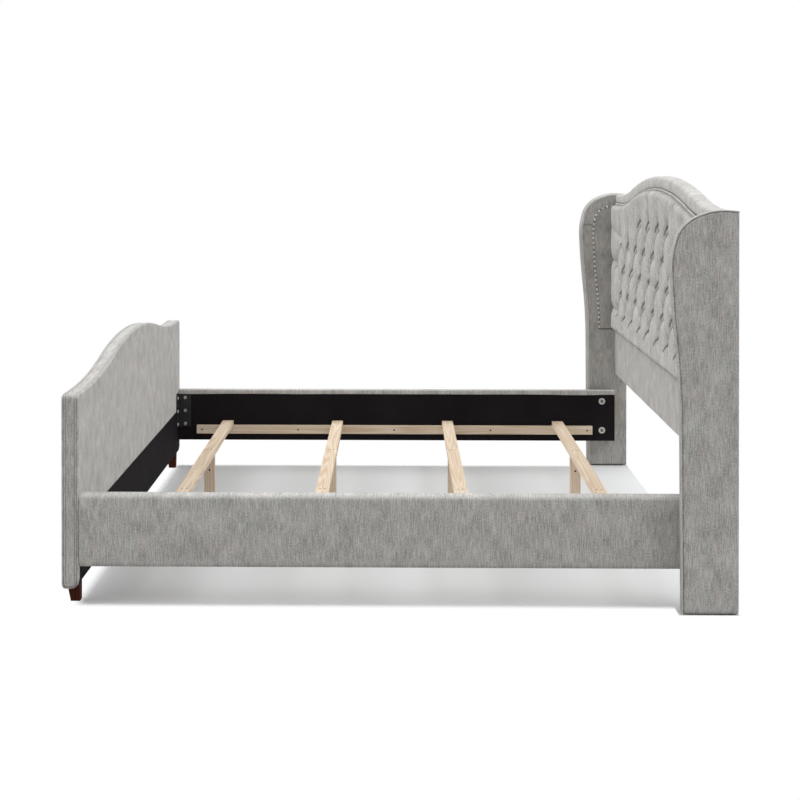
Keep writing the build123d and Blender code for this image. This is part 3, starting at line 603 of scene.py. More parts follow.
def lofted(name, sections, material, cloth=None, flip=False, crease=50.0):
    """A closed piece through closed sections, with a flat face at each end."""
    rows, columns = sections.shape[:2]
    if cloth is None:
        cloth = cloth_coordinates(sections)
    faces = grid_faces(rows, columns, wrap=True)
    faces.append(tuple(range(columns - 1, -1, -1)))
    faces.append(tuple((rows - 1) * columns + column for column in range(columns)))
    if flip:
        faces = [tuple(reversed(face)) for face in faces]
    return finish_mesh(name, sections.reshape(-1, 3), faces, cloth.reshape(-1, 3), material, crease)


def cord_rings(path, radius, sides=12):
    """Rings of a round welt along a path of points that lie in one plane."""
    tangents = np.gradient(path, axis=0)
    tangents /= np.linalg.norm(tangents, axis=1)[:, None]
    normal = np.linalg.svd(path - path.mean(axis=0), full_matrices=False)[2][2]
    side = np.cross(tangents, np.broadcast_to(normal, tangents.shape))
    side /= np.linalg.norm(side, axis=1)[:, None]
    up = np.cross(side, tangents)
    angles = np.linspace(0, 2 * math.pi, sides, endpoint=False)[None, :, None]
    return path[:, None] + radius * (np.cos(angles) * side[:, None] + np.sin(angles) * up[:, None])


welt_unevenness = 0.0006
welt_cloth = chenille("welt_chenille", 1.06)
welt_y = np.linspace(-head_half, head_half, 481)
welt_x = np.full_like(welt_y, (welt_low.x + welt_high.x) / 2)
welt_z = welt_line(welt_y) + welt_unevenness * ripple(welt_y, welt_y, 0.25, 8)
welt_rings = cord_rings(np.stack([welt_x, welt_y, welt_z], axis=1), welt_radius)
headboard_welt = lofted("headboard_welt_cord", welt_rings, welt_cloth, crease=80)
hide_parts("headboard_welt")


# Headboard border
# A padded band over the tufted pad. Its cloth is sewn to the welt, rolls over the top edge and is
# stapled down behind.

border_front = border_low.x + 0.002
border_bulge = 0.0045
border_tuck = 0.0045
border_tuck_reach = 0.0035
border_seam_width = 0.003
border_seam_shade = 0.7
border_unevenness = 0.0007
border_roll = 0.017
border_roll_share = 0.28
border_face_share = 1 - border_roll_share
foam_over_board = 0.0125
back_roll = 0.006
back_lap = 0.030
back_cloth = 0.0015


def border_section(y):
    """The band's closed section in X and Z at one place across the bed."""
    low, top = float(welt_line(y)) + welt_radius * 0.55, float(headboard_top(y))
    face, back = panel_low.x, border_high.x
    span = top - low
    shape = []
    for share in np.linspace(0, border_face_share, 12):
        bulge = border_bulge * math.sin(math.pi * min(share / border_face_share * 0.62 + 0.06, 1))
        tuck = border_tuck * math.exp(-share * span / border_tuck_reach)
        shape.append((border_front + tuck - bulge, low + span * share))
    roll_height = span * border_roll_share
    centre_x, centre_z = shape[-1][0] + border_roll, top - roll_height
    for angle in np.linspace(0.12, math.pi / 2, 9):
        shape.append((centre_x - border_roll * math.cos(angle), centre_z + roll_height * math.sin(angle)))
    for share in (0.3, 0.6, 0.85):
        shape.append((centre_x + (back - back_roll - centre_x) * share, top))
    for angle in np.linspace(math.pi / 2, 0, 6):
        shape.append((back - back_roll * (1 - math.cos(angle)), top - back_roll * (1 - math.sin(angle))))
    shape += [(back, top - back_lap * 0.6), (back, top - back_lap), (back - back_cloth, top - back_lap)]
    shape += [(back - 0.002, top - 0.012), (face, top - foam_over_board), (face, low)]
    return shape


# The band's cloth is a tenth lighter than the other pieces, a painted highlight for the light from above, and
# painted shade darkens it just above the welt.
lit_crown_cloth = chenille("lit_crown_chenille", 1.1)
border_y = np.linspace(-head_half, head_half, 241)
border_points = np.array([[(x, y, z) for x, z in border_section(y)] for y in border_y])
border_points[:, :, 0] += border_unevenness * ripple(border_points[:, :, 1], border_points[:, :, 2], 0.22, 9)
above_welt = np.maximum(border_points[:, :, 2] - welt_line(border_y)[:, None] - welt_radius, 0)
border_painted_shade = border_seam_shade * np.exp(-above_welt / border_seam_width)
border_cloth = face_cloth(border_points, (0.5, 0.2), border_painted_shade)
headboard_border = lofted("headboard_border_cloth", border_points, lit_crown_cloth, cloth=border_cloth, crease=60)
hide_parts("headboard_border")


# Lower headboard panel
# A plain padded panel under the tufted pad. Its cloth is drawn over the board's lower edge and stapled
# underneath.

lower_low, lower_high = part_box("headboard_lower_pad")
lower_top_roll = 0.008
lower_edge_roll = 0.006
lower_crown = 0.0022
lower_unevenness = 0.0006
lower_seam_width = 0.004
lower_seam_shade = 0.6
wrap_depth = panel_low.z - 0.0005


def soft_turn(centre, radius, start, end, steps=6):
    """Points round a rounded edge, between two directions in degrees."""
    angles = np.radians(np.linspace(start, end, steps))
    return [(centre[0] + radius * math.cos(a), centre[1] + radius * math.sin(a)) for a in angles]


def lower_section():
    """The panel's closed section in X and Z."""
    front, back, deep = lower_low.x, panel_low.x, lower_high.x
    low, top = lower_low.z, lower_high.z
    shape = [(back, top)]
    shape += soft_turn((front + lower_top_roll, top - lower_top_roll), lower_top_roll, 90, 180)
    for share in np.linspace(0.06, 0.94, 16):
        shape.append((front - lower_crown * math.sin(math.pi * share), top - (top - low) * share))
    shape += soft_turn((front + lower_edge_roll, low + lower_edge_roll), lower_edge_roll, 180, 270)
    shape += [(deep, low), (deep, wrap_depth), (back, wrap_depth)]
    return shape


# The panel's cloth is a tenth darker than the other pieces, painted shade for its lower and less lit face,
# and painted shade darkens its top edge under the tufted pad.
shaded_low_cloth = chenille("shaded_low_chenille", 0.9)
lower_y = np.linspace(-head_half, head_half, 161)
lower_points = np.array([[(x, y, z) for x, z in lower_section()] for y in lower_y])
lower_points[:, :, 0] += lower_unevenness * ripple(lower_points[:, :, 1], lower_points[:, :, 2], 0.3, 12)
lower_painted_shade = np.exp(-np.abs(lower_points[:, :, 2] - lower_high.z) / lower_seam_width)
lower_cloth = face_cloth(lower_points, (0.31, 0.1), lower_seam_shade * lower_painted_shade)
lower_pad = lofted("headboard_lower_pad_cloth", lower_points, shaded_low_cloth, cloth=lower_cloth)
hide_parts("headboard_lower_pad")


# Headboard back
# A thin black non-woven cloth that keeps the dust out of the frame. It is stapled down along its edges,
# and it is a little slack between them.

lining_dark = (0.0060, 0.0046, 0.0060)
lining_light = (0.0165, 0.0130, 0.0160)


def lining_finish(name):
    """Black non-woven cloth with fine flecks, a little paler in clouds."""
    finish = Finish(name, Specular_IOR_Level=0.12)
    cloth = finish.add("ShaderNodeAttribute", {"attribute_name": "cloth"}, output=1)
    fleck = finish.noise(cloth, (520, 520, 1), 3, 0.7)
    cloud = finish.noise(cloth, (6, 6, 1), 2)
    colour = finish.ramp(fleck * 0.6 + cloud * 0.4, (0.3, lining_dark), (0.72, lining_light))
    return finish.done(colour, 0.72 + fleck * 0.2, fleck, 0.0004)


lining = lining_finish("black_lining")
cover_low, cover_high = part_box("headboard_back_cover")
cover_slack = 0.0012
slack_reach = 0.05
stapled_depth = 0.0016
cover_rise = np.linspace(0, 1, 61)[:, None]
cover_columns = np.linspace(-head_half, head_half, 141)
cover_top = headboard_top(cover_columns) - back_lap + 0.001
cover_y = cover_columns + 0 * cover_rise
cover_z = cover_low.z + (cover_top - cover_low.z) * cover_rise
edge_gap = np.minimum.reduce([cover_z - cover_low.z, cover_top - cover_z, head_half - np.abs(cover_y)])
slack = cover_slack * np.clip(edge_gap / slack_reach, 0, 1) * ripple(cover_y, cover_z, 0.35, 15)
cover_x = cover_high.x - stapled_depth * (edge_gap <= 0) + slack
cover_points = np.stack([cover_x, cover_y, cover_z], axis=2)
cover_cloth = cloth_coordinates(cover_points)
back_cover = sewn_pad("headboard_back_lining", cover_points, lining, cover_cloth)
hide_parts("headboard_back_cover")


# Wing outline
# The wing's front edge rises straight from its glide, draws in at a waist and sweeps forward and over
# into a flat top. Its corners are shares of the wing's depth and height, joined by arcs.

inner_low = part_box("wing_inner_panel_left")[0]
outer_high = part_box("wing_outer_panel_left")[1]
band_low, band_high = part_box("wing_edge_band_left")
wing_back = outer_high.x
wing_depth = 0.215
wing_top = band_high.z
wing_foot = inner_low.z
wing_corner_shares = [
    (0.837, wing_foot / wing_top),
    (0.856, 0.467),
    (0.921, 0.662),
    (1.0, 0.845),
    (0.935, 0.927),
    (0.651, 0.983),
    (0.256, 1.0),
    (0.0, 0.997),
]


def spaced(line, shares):
    """Points at shares of a line's length."""
    along = np.concatenate([[0], np.cumsum(np.linalg.norm(np.diff(line, axis=0), axis=1))])
    return np.stack([np.interp(shares * along[-1], along, line[:, axis]) for axis in (0, 1)], axis=1)


def wing_outline(step=0.006):
    """Evenly spaced points of the wing's edge: one straight stretch, then arcs that flow into each other."""
    corners = [np.array([wing_back - wing_depth * a, wing_top * b]) for a, b in wing_corner_shares]
    line = [corners[0], corners[1]]
    tangent = (corners[1] - corners[0]) / np.linalg.norm(corners[1] - corners[0])
    for corner in corners[2:]:
        start = line[-1]
        chord = corner - start
        heading = math.atan2(tangent[1], tangent[0])
        turn = math.atan2(tangent[0] * chord[1] - tangent[1] * chord[0], tangent @ chord)
        for bend in turn * np.linspace(0, 1, 41)[1:]:
            reach = np.linalg.norm(chord) * math.sin(bend) / math.sin(turn)
            line.append(start + reach * np.array([math.cos(heading + bend), math.sin(heading + bend)]))
        tangent = np.array([math.cos(heading + 2 * turn), math.sin(heading + 2 * turn)])
    line = np.array(line)
    length = np.linalg.norm(np.diff(line, axis=0), axis=1).sum()
    return spaced(line, np.linspace(0, 1, round(length / step) + 1))


wing_line = wing_outline()
wing_tangent = np.gradient(wing_line, axis=0)
wing_tangent /= np.linalg.norm(wing_tangent, axis=1)[:, None]
wing_inward = np.stack([wing_tangent[:, 1], -wing_tangent[:, 0]], axis=1)


def wing_curve(inset):
    """The wing's edge, moved in. Its ends stay at the foot and at the rear face."""
    curve = wing_line + wing_inward * inset
    curve[0, 1] = wing_foot
    curve[-1, 0] = wing_back
    return curve


def gap_to(points, curve):
    """Distance of every point from a curve."""
    flat = points.reshape(-1, 2)
    nearest = np.full(len(flat), np.inf)
    for start, end in zip(curve, curve[1:]):
        nearest = np.minimum(nearest, segment_distance(flat[:, 0], flat[:, 1], start, end)[0])
    return nearest.reshape(points.shape[:2])


def filled(curve, bottom):
    """A grid over the area behind a curve: from the curve to the rear face, and from bottom to the top."""
    fine = np.array([0.0012, 0.003, 0.0055, 0.009, 0.014])
    fine_end = 0.02
    turn = int(np.argmax(curve[:, 1] > curve[-1, 1] - 0.05))
    start = int(np.argmax(curve[:, 1] >= bottom))
    front, over = curve[start : turn + 1].copy(), curve[turn:]
    front[0, 1] = bottom
    length = np.linalg.norm(over[-1] - over[0])
    height = front[-1, 1] - bottom
    back = np.concatenate([[0], fine / length, np.linspace(fine_end / length, 1, 22)])
    up = np.concatenate([np.linspace(0, 1 - fine_end / height, 150), 1 - fine[::-1] / height, [1]])
    side, top = spaced(front, up), spaced(over, back)
    back, up = back[None, :, None], up[:, None, None]
    rear = np.array([wing_back, bottom]) + up * np.array([0, curve[-1, 1] - bottom])
    low = front[0] + (rear[0] - front[0]) * back
    ruled = (1 - back) * side[:, None] + back * rear + (1 - up) * low + up * top
    corners = (1 - up) * ((1 - back) * front[0] + back * rear[0])
    corners = corners + up * ((1 - back) * top[0] + back * rear[-1])
    return ruled - corners


def on_side(points, side):
    """The same points on the left side for 1, or mirrored to the right side for -1."""
    return points * np.array([1, side, 1])


sides = {"left": 1, "right": -1}


# Wing outer panels
# Padded cloth over the outer face of each wing. It starts at the outer welt and is drawn round the wing's
# rear edge, where it is stapled to the board.

outer_face = outer_high.y
core_face = band_high.y
core_inner = band_low.y
foot_hem = 0.002
panel_roll = 0.006
panel_crown = 0.0012
panel_unevenness = 0.0006
crown_reach = 0.05
panel_inset = 0.0035
wing_seam_width = 0.0022
wing_seam_shade = 0.75
rear_radius = 0.006
rear_lap = 0.002
outer_edge = wing_curve(panel_inset)
outer_grid = filled(outer_edge, wing_foot)
outer_gap = np.minimum(gap_to(outer_grid, outer_edge), outer_grid[:, :, 1] - wing_foot + foot_hem)
rear_gap = wing_back - outer_grid[:, :, 0]
fullness = np.clip(rear_gap / crown_reach, 0, 1) * np.clip(outer_gap / crown_reach, 0, 1)
outer_y = core_face + (outer_face - core_face) * soft_edge(outer_gap, panel_roll)
unevenness = panel_unevenness * ripple(outer_grid[:, :, 0], outer_grid[:, :, 1], 0.28, 21)
outer_y += fullness * (panel_crown + unevenness)
outer_x = np.minimum(outer_grid[:, :, 0], wing_back - rear_radius * 0.999)
outer_skin = np.stack([outer_x, outer_y, outer_grid[:, :, 1]], axis=2)
end_y, end_z = outer_y[:, -1], outer_grid[:, -1, 1]
rear_skin = []
for angle in np.radians(np.linspace(15, 90, 6)):
    rear_x = wing_back - rear_radius * (1 - math.sin(angle))
    rear_skin.append((rear_x, end_y - rear_radius * (1 - math.cos(angle))))
for share in (0.25, 0.5, 0.75, 1.0):
    rear_skin.append((wing_back, end_y - rear_radius + (core_inner - end_y + rear_radius) * share))
rear_skin.append((wing_back - rear_lap, np.full_like(end_y, core_inner)))
rear_skin.append((wing_back - rear_lap, np.full_like(end_y, core_face)))
rear_skin = np.stack([np.stack([np.full_like(end_y, x), y, end_z], axis=1) for x, y in rear_skin], axis=1)
inner_return = outer_skin[:, ::-3].copy()
inner_return[:, :, 1] = core_face
outer_sections = np.concatenate([outer_skin, rear_skin, inner_return[:, 1:]], axis=1)
outer_across = outer_sections[:, :, 0] + outer_face - outer_sections[:, :, 1]
outer_cloth = np.stack([outer_across, outer_sections[:, :, 2], np.zeros_like(outer_across)], axis=2)
# Painted shade darkens the outer cloth along its front edge, by the welt, and at its foot.
outer_cloth[:, : outer_gap.shape[1], 2] = wing_seam_shade * np.exp(-outer_gap / wing_seam_width)
for name, side in sides.items():
    start = np.array([1.7 * side, 0.4 * side, 0])
    sections = on_side(outer_sections, side)
    outer_panel = lofted(
        f"wing_outer_cloth_{name}", sections, upholstery, cloth=outer_cloth + start, flip=side > 0
    )
    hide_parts(f"wing_outer_panel_{name}")


# Wing inner panels
# The inner face of each wing: a wide border that runs down to the floor, and a smaller panel set into it,
# with nailheads over the seam between them. The border is pieced together part of the way up.

inner_face = inner_low.y
inset_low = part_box("wing_inset_panel_left")[0]
border_seam_depth = 0.0035
border_seam_roll = 0.004
inset_seam_depth = 0.0045
inset_seam_roll = 0.006
inset_unevenness = 0.0004
inset_slack_reach = 0.03
cloth_thickness = 0.003
weld_reach = 0.00005
join_height = 1.137
join_width = 0.0035
join_shade = 0.55
inset_seam_shade = 0.3


def inner_sheet(grid, gap, depth, radius):
    """The inner face over a grid: flat at the wing's inner face, and rolled back at its borders."""
    y = inner_face + depth * (1 - soft_edge(gap, radius))
    return np.stack([grid[:, :, 0], y, grid[:, :, 1]], axis=2)


def side_cloth(sheet, start, gap, dark=wing_seam_shade):
    """Cloth coordinates on a side face: its warp stands upright, and painted shade darkens it at its seams.
    """
    across, along = sheet[:, :, 0] + start[0], sheet[:, :, 2] + start[1]
    return np.stack([across, along, dark * np.exp(-gap / wing_seam_width)], axis=2)


def joined_sheets(name, sheets, cloths, material, flip):
    """One cloth made of several grids that share borders, as thick as the padding behind it."""
    vertices, faces, cloth = [], [], []
    for sheet, laid in zip(sheets, cloths):
        rows, columns = sheet.shape[:2]
        first = sum(len(v) for v in vertices)
        vertices.append(sheet.reshape(-1, 3))
        cloth.append(laid.reshape(-1, 3))
        new = [tuple(first + corner for corner in face) for face in grid_faces(rows, columns)]
        faces += [tuple(reversed(face)) for face in new] if flip else new
    piece = finish_mesh(name, np.concatenate(vertices), faces, np.concatenate(cloth), material)
    weld = piece.modifiers.new("weld", "WELD")
    weld.merge_threshold = weld_reach
    shell = piece.modifiers.new("thickness", "SOLIDIFY")
    shell.thickness = cloth_thickness
    shell.offset = -1
    return piece


edge_inset = 0.008
nail_inset = 0.058
from_edge = np.array([0, 0.0012, 0.003, 0.0055, 0.009, 0.014, 0.022])
from_nails = np.array([0.020, 0.012, 0.006, 0.003, 0.0013, 0])
band_insets = np.concatenate([edge_inset + from_edge, nail_inset - from_nails])
band_grid = np.stack([wing_curve(inset) for inset in band_insets], axis=1)
seam_row = int(np.argmax(band_grid[:, -1, 1] >= inset_low.z))
band_grid[seam_row, :, 1] = inset_low.z
band_gap = np.broadcast_to(band_insets - edge_inset, band_grid.shape[:2])
above_seam = (np.arange(len(band_grid)) >= seam_row)[:, None]
band_gap = np.where(above_seam, np.minimum(band_gap, nail_inset - band_insets), band_gap)
band_gap = np.minimum(band_gap, band_grid[:, :, 1] - wing_foot + foot_hem)
band_sheet = inner_sheet(band_grid, band_gap, border_seam_depth, border_seam_roll)
seam_line = band_grid[: seam_row + 1, -1]
rear_line = np.stack([np.full(seam_row + 1, wing_back), seam_line[:, 1]], axis=1)
lower_grid = seam_line[:, None] + (rear_line - seam_line)[:, None] * np.linspace(0, 1, 20)[None, :, None]
lower_gap = np.minimum(lower_grid[:, :, 1] - wing_foot + foot_hem, inset_low.z - lower_grid[:, :, 1])
lower_sheet = inner_sheet(lower_grid, lower_gap, border_seam_depth, border_seam_roll)
# Painted shade darkens the border in a line where it is pieced together.
border_join_shade = join_shade * np.exp(-(((band_sheet[:, :, 2] - join_height) / join_width) ** 2))
inset_edge = wing_curve(nail_inset)
inset_grid = filled(inset_edge, inset_low.z)
inset_x, inset_z = inset_grid[:, :, 0], inset_grid[:, :, 1]
inset_gap = np.minimum(gap_to(inset_grid, inset_edge), inset_z - inset_low.z)
inset_sheet = inner_sheet(inset_grid, inset_gap, inset_seam_depth, inset_seam_roll)
slack = inset_unevenness * np.clip(inset_gap / inset_slack_reach, 0, 1)
inset_sheet[:, :, 1] -= slack * ripple(inset_x, inset_z, 0.2, 24)
# The inner faces' cloth is darker than the other pieces, painted shade for the recess between the wings, and
# painted shade darkens it at its seams.
shaded_inner_wing_cloth = chenille("shaded_inner_wing_chenille", 0.86)
for name, side in sides.items():
    sheets = [on_side(sheet, side) for sheet in (band_sheet, lower_sheet)]
    cloths = [side_cloth(sheet, (3.1 * side, 0.7), gap) for sheet, gap in zip(sheets, (band_gap, lower_gap))]
    cloths[0][:, :, 2] = np.maximum(cloths[0][:, :, 2], border_join_shade)
    inner_panel = joined_sheets(f"wing_inner_cloth_{name}", sheets, cloths, shaded_inner_wing_cloth, side < 0)
    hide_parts(f"wing_inner_panel_{name}")
    sheet = on_side(inset_sheet, side)
    cloths = [side_cloth(sheet, (4.3 * side, 1.9), inset_gap, inset_seam_shade)]
    inset_panel = joined_sheets(f"wing_inset_cloth_{name}", [sheet], cloths, shaded_inner_wing_cloth, side < 0)
    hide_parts(f"wing_inset_panel_{name}")


# Wing edge bands and welts
# A strip of the same cloth runs over each wing's front and top edge, sewn in between two welts. Its inner
# side is set back a little.

band_depth = 0.008
band_tuck = 0.0018
band_tuck_reach = 0.0022
band_crown = 0.0006
band_seam_width = 0.003
band_seam_shade = 0.85
inner_setback = 0.0045
wing_welt_radius = 0.0027
welt_sink = 0.001
shade_top = 1.15
shade_fade = 0.05
low_shade = 0.3
band_width = core_face - core_inner
band_rows = []
band_painted_shade = []
for across in (0, 0.03, 0.07, 0.12, 0.2, 0.3, 0.4, 0.5, 0.6, 0.7, 0.8, 0.88, 0.93, 0.97, 1):
    gap = min(across, 1 - across) * band_width
    tuck = band_tuck * math.exp(-gap / band_tuck_reach) + inner_setback * (1 - across) ** 1.5
    band_rows.append((core_inner + band_width * across, tuck - band_crown * math.sin(math.pi * across)))
    band_painted_shade.append(band_seam_shade * math.exp(-gap / band_seam_width))
band_rows += [(core_face, band_depth), (core_inner, band_depth)]
band_painted_shade += [1.0, 1.0]
band_sections = np.stack([np.insert(wing_curve(inset), 1, y, axis=1) for y, inset in band_rows], axis=1)
band_cloth = cloth_coordinates(band_sections)
# Painted shade: the band is darkened in its seams beside the welts, and below the wing's widest point, where
# it faces down and away from the light.
front_shade = low_shade * np.clip((shade_top - band_sections[:, :, 2]) / shade_fade, 0, 1)
band_cloth[:, :, 2] = np.maximum(np.array(band_painted_shade), front_shade)
inner_welt = wing_curve(wing_welt_radius + inner_setback + welt_sink)
outer_welt = wing_curve(wing_welt_radius - welt_sink)
welt_lines = {
    "inner": np.insert(inner_welt, 1, inner_face + wing_welt_radius, axis=1),
    "outer": np.insert(outer_welt, 1, outer_face - wing_welt_radius, axis=1),
}
for name, side in sides.items():
    start = np.array([2.3 * side, 0.2, 0])
    sections = on_side(band_sections, side)
    band = lofted(f"wing_edge_cloth_{name}", sections, upholstery, cloth=band_cloth + start, flip=side < 0)
    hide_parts(f"wing_edge_band_{name}")
    for place, path in welt_lines.items():
        rings = cord_rings(on_side(path, side), wing_welt_radius)
        cord = lofted(f"wing_welt_{place}_{name}", rings, welt_cloth, crease=80)
        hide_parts(f"wing_welts_{name}")


# Nailheads
# Small polished nickel domes, hammered in one by one over the seam of the inner face. Each one is a little
# uneven, so that they don't all shine alike.


def dress(node, material, bevel=0.0):
    """Give a piece of the frame its finish, and take the sharpness off its edges."""
    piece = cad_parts[node]
    piece.data.materials.clear()
    piece.data.materials.append(material)
    if bevel:
        edge = piece.modifiers.new("worn_edges", "BEVEL")
        edge.width = bevel
        edge.segments = 2
        edge.limit_method = "ANGLE"
        edge.angle_limit = math.radians(40)
        edge.harden_normals = True


def metal(name, colour, roughness, wear):
    """Metal with faint patches, whose darkest are a share of its colour, and fine scratches."""
    finish = Finish(name, Metallic=1.0)
    place = finish.place()
    patch = finish.noise(place, (160, 160, 160), 3, 0.6)
    scratch = finish.noise(place, (900, 900, 900), 2)
    shade = finish.ramp(patch, (0.3, tinted(colour, wear)), (0.7, colour))
    return finish.done(shade, roughness + patch * 0.18, patch + scratch * 0.4, 0.0002)


nickel = metal("polished_nickel", (0.80, 0.785, 0.75), 0.16, 0.82)
for name in sides:
    dress(f"nailheads_{name}", nickel)


# Headboard frame and wing boards
# A pine frame glued and stapled behind a plywood panel, and a board inside each wing. All of it is hidden
# by the cloth.


def lengthwise(finish, axis):
    """Coordinates on a board, with its length last."""
    place = finish.place()
    parts = [finish.part(place, number) for number in range(3)]
    order = [number for number in range(3) if number != axis] + [axis]
    return finish.add("ShaderNodeCombineXYZ", None, dict(enumerate(parts[number] for number in order)))


def timber(name, axis, light, dark, knot, knot_share=0.3, **constants):
    """Sawn wood whose grain runs along one axis. Its growth rings bend round its knots."""
    finish = Finish(name, **constants)
    board = lengthwise(finish, axis)
    cells = {"Vector": finish.stretched(board, (8, 8, 2.6)), "Scale": 1.0}
    from_knot = finish.add("ShaderNodeTexVoronoi", None, cells)
    chance = finish.part(finish.add("ShaderNodeTexVoronoi", None, cells, 1), 0)
    chosen = finish.maths("LESS_THAN", chance, knot_share)
    core = smooth_step(finish, from_knot, 0.095, 0.05) * chosen
    round_knot = smooth_step(finish, from_knot, 0.42, 0.0) * chosen
    figure = finish.noise(board, (17, 17, 0.8), 1.5, 0.5) + round_knot * 0.10
    rings = finish.maths("SINE", figure * 95)
    pores = finish.noise(board, (900, 900, 22), 2, 0.6)
    cloud = finish.noise(board, (30, 30, 3), 2)
    shade = rings * 0.24 + pores * 0.35 + cloud * 0.5
    colour = finish.ramp(shade, (0.12, light), (0.80, dark))
    colour = finish.blend(core * 0.85, colour, (*knot, 1))
    return finish.done(colour, 0.62 + pores * 0.2, rings * 0.25 + pores, 0.00035)


frame_pine = timber("frame_pine", 1, (0.74, 0.57, 0.38), (0.55, 0.38, 0.22), (0.25, 0.12, 0.05))
plywood = timber("plywood", 2, (0.66, 0.50, 0.33), (0.52, 0.37, 0.22), (0.36, 0.22, 0.11), 0.12)
for node in ("headboard_post_left", "headboard_post_right", "headboard_top_rail", "headboard_bottom_rail"):
    dress(node, frame_pine, 0.0015)
for node in ("headboard_panel", "wing_core_left", "wing_core_right"):
    dress(node, plywood)


# Wing glides
# Low glides of black plastic, two under each wing. They are nailed into the wing's board and keep its
# cloth off the floor.


def moulded(name, colour, roughness):
    """Moulded plastic with a fine grain."""
    finish = Finish(name)
    grain = finish.noise(finish.place(), (700, 700, 700), 3, 0.6)
    shade = finish.ramp(grain, (0.3, tinted(colour, 0.75)), (0.7, colour))
    return finish.done(shade, roughness + grain * 0.15, grain, 0.00025)


dress("wing_glides", moulded("black_plastic", (0.035, 0.035, 0.037), 0.45), 0.0012)


# Side rails
# A board on edge under foam and chenille. The cloth is drawn over the top, turned down on the inner side,
# and stapled over a black lining that covers the rest of that side.

rail_low, rail_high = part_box("rail_cover_left")
board_low, board_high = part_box("rail_board_left")
rail_lining_low, rail_lining_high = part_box("rail_lining_left")
rail_roll = 0.015
rail_end_roll = 0.0015
rail_inner_roll = 0.004
rail_crown = 0.0022
rail_top_crown = 0.0012
rail_unevenness = 0.0009
rail_face_depth = 0.012
lip_wave = 0.0022
lip_lap = 0.001
lining_slack = 0.0004


def rail_section(x):
    """The cover's closed section in Y and Z at one place along the rail."""
    end_gap = min(x - rail_low.x, rail_high.x - x)
    drawn = rail_end_roll * (1 - float(soft_edge(end_gap, rail_end_roll)))
    inner, outer = rail_low.y + drawn * 0.3, rail_high.y - drawn
    low, top = rail_low.z + drawn * 0.6, rail_high.z - drawn
    lip = rail_lining_high.z + lip_wave * float(ripple(x, 0.0, 0.5, 31)) + lip_lap
    shape = [(inner - 0.0004, lip), (inner - 0.0006, (lip + top) / 2)]
    shape += soft_turn((inner + rail_inner_roll, top - rail_inner_roll), rail_inner_roll, 180, 90, 5)
    top_width = outer - rail_roll - inner - rail_inner_roll
    for share in (0.25, 0.5, 0.75):
        y = inner + rail_inner_roll + top_width * share
        shape.append((y, top + rail_top_crown * math.sin(math.pi * share)))
    shape += soft_turn((outer - rail_roll, top - rail_roll), rail_roll, 90, 0, 8)
    for share in np.linspace(0.06, 0.94, 22):
        z = top - rail_roll - (top - low - 2 * rail_roll) * share
        shape.append((outer + rail_crown * math.sin(math.pi * share), z))
    shape += soft_turn((outer - rail_roll, low + rail_roll), rail_roll, 0, -90, 8)
    shape += [(board_low.y, low), (board_low.y, board_low.z), (board_high.y, board_low.z)]
    shape += [(board_high.y, board_high.z), (board_low.y, board_high.z), (board_low.y, lip)]
    return shape


def fine_ended(low, high, count):
    """Places between two ends, closer together near both."""
    fine_steps = np.array([0, 0.0006, 0.0015, 0.003, 0.005, 0.009, 0.016])
    fine_end = 0.026
    middle = np.linspace(low + fine_end, high - fine_end, count)
    return np.concatenate([low + fine_steps, middle, (high - fine_steps)[::-1]])


rail_x = fine_ended(rail_low.x, rail_high.x, 140)
rail_sections = np.array([[(x, y, z) for y, z in rail_section(x)] for x in rail_x])
on_face = np.clip((rail_sections[:, :, 1] - rail_high.y + rail_face_depth) / rail_face_depth, 0, 1)
unevenness = rail_unevenness * ripple(rail_sections[:, :, 0], rail_sections[:, :, 2], 0.3, 33)
rail_sections[:, :, 1] += on_face * unevenness
rail_cloth = cloth_coordinates(rail_sections, across=0, along=1)
lining_x = np.linspace(rail_lining_low.x, rail_lining_high.x, 120)
lining_rows = np.linspace(rail_lining_low.z, rail_lining_high.z, 14)
lining_back = rail_lining_high.y - 0.0001
lining_shape = [(rail_lining_low.y, z) for z in lining_rows]
lining_shape += [(lining_back, rail_lining_high.z), (lining_back, rail_lining_low.z)]
lining_sections = np.array([[(x, y, z) for y, z in lining_shape] for x in lining_x])
lining_front = lining_sections[:, : len(lining_rows)]
lining_front[:, :, 1] += lining_slack * (1 + ripple(lining_front[:, :, 0], lining_front[:, :, 2], 0.22, 35))
lining_cloth = cloth_coordinates(lining_sections, across=0, along=1)
for name, side in sides.items():
    start = np.array([0.9 * side, 2.1 * side, 0])
    sections = on_side(rail_sections, side)
    rail_cover = lofted(f"rail_cloth_{name}", sections, upholstery, cloth=rail_cloth + start, flip=side > 0)
    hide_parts(f"rail_cover_{name}")
    sections = on_side(lining_sections, side)
    cloth = lining_cloth + start
    rail_lining = lofted(f"rail_black_cloth_{name}", sections, lining, cloth, flip=side > 0)
    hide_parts(f"rail_lining_{name}")
    dress(f"rail_board_{name}", plywood)


# Cleats
# A strip of planed pine runs along the inside of each rail and carries the slats. It is screwed through
# the lining into the rail's board.


def pine(name, axis):
    """Raw planed pine with a few knots."""
    light, dark, knot = (0.77, 0.645, 0.505), (0.60, 0.445, 0.305), (0.28, 0.13, 0.055)
    return timber(name, axis, light, dark, knot, Specular_IOR_Level=0.3)


planed_edge = 0.0018
pine_long = pine("pine_long", 0)
screw_steel = metal("dark_screw_steel", (0.035, 0.028, 0.022), 0.5, 0.6)
for name in sides:
    dress(f"cleat_{name}", pine_long, planed_edge)
dress("cleat_screws", screw_steel)


# Corner brackets, bolts and washers
# Black steel angles join the rails to the footboard, with three domed bolts in each leg. Two bolts with
# large washers hold the head end of each rail against its wing.


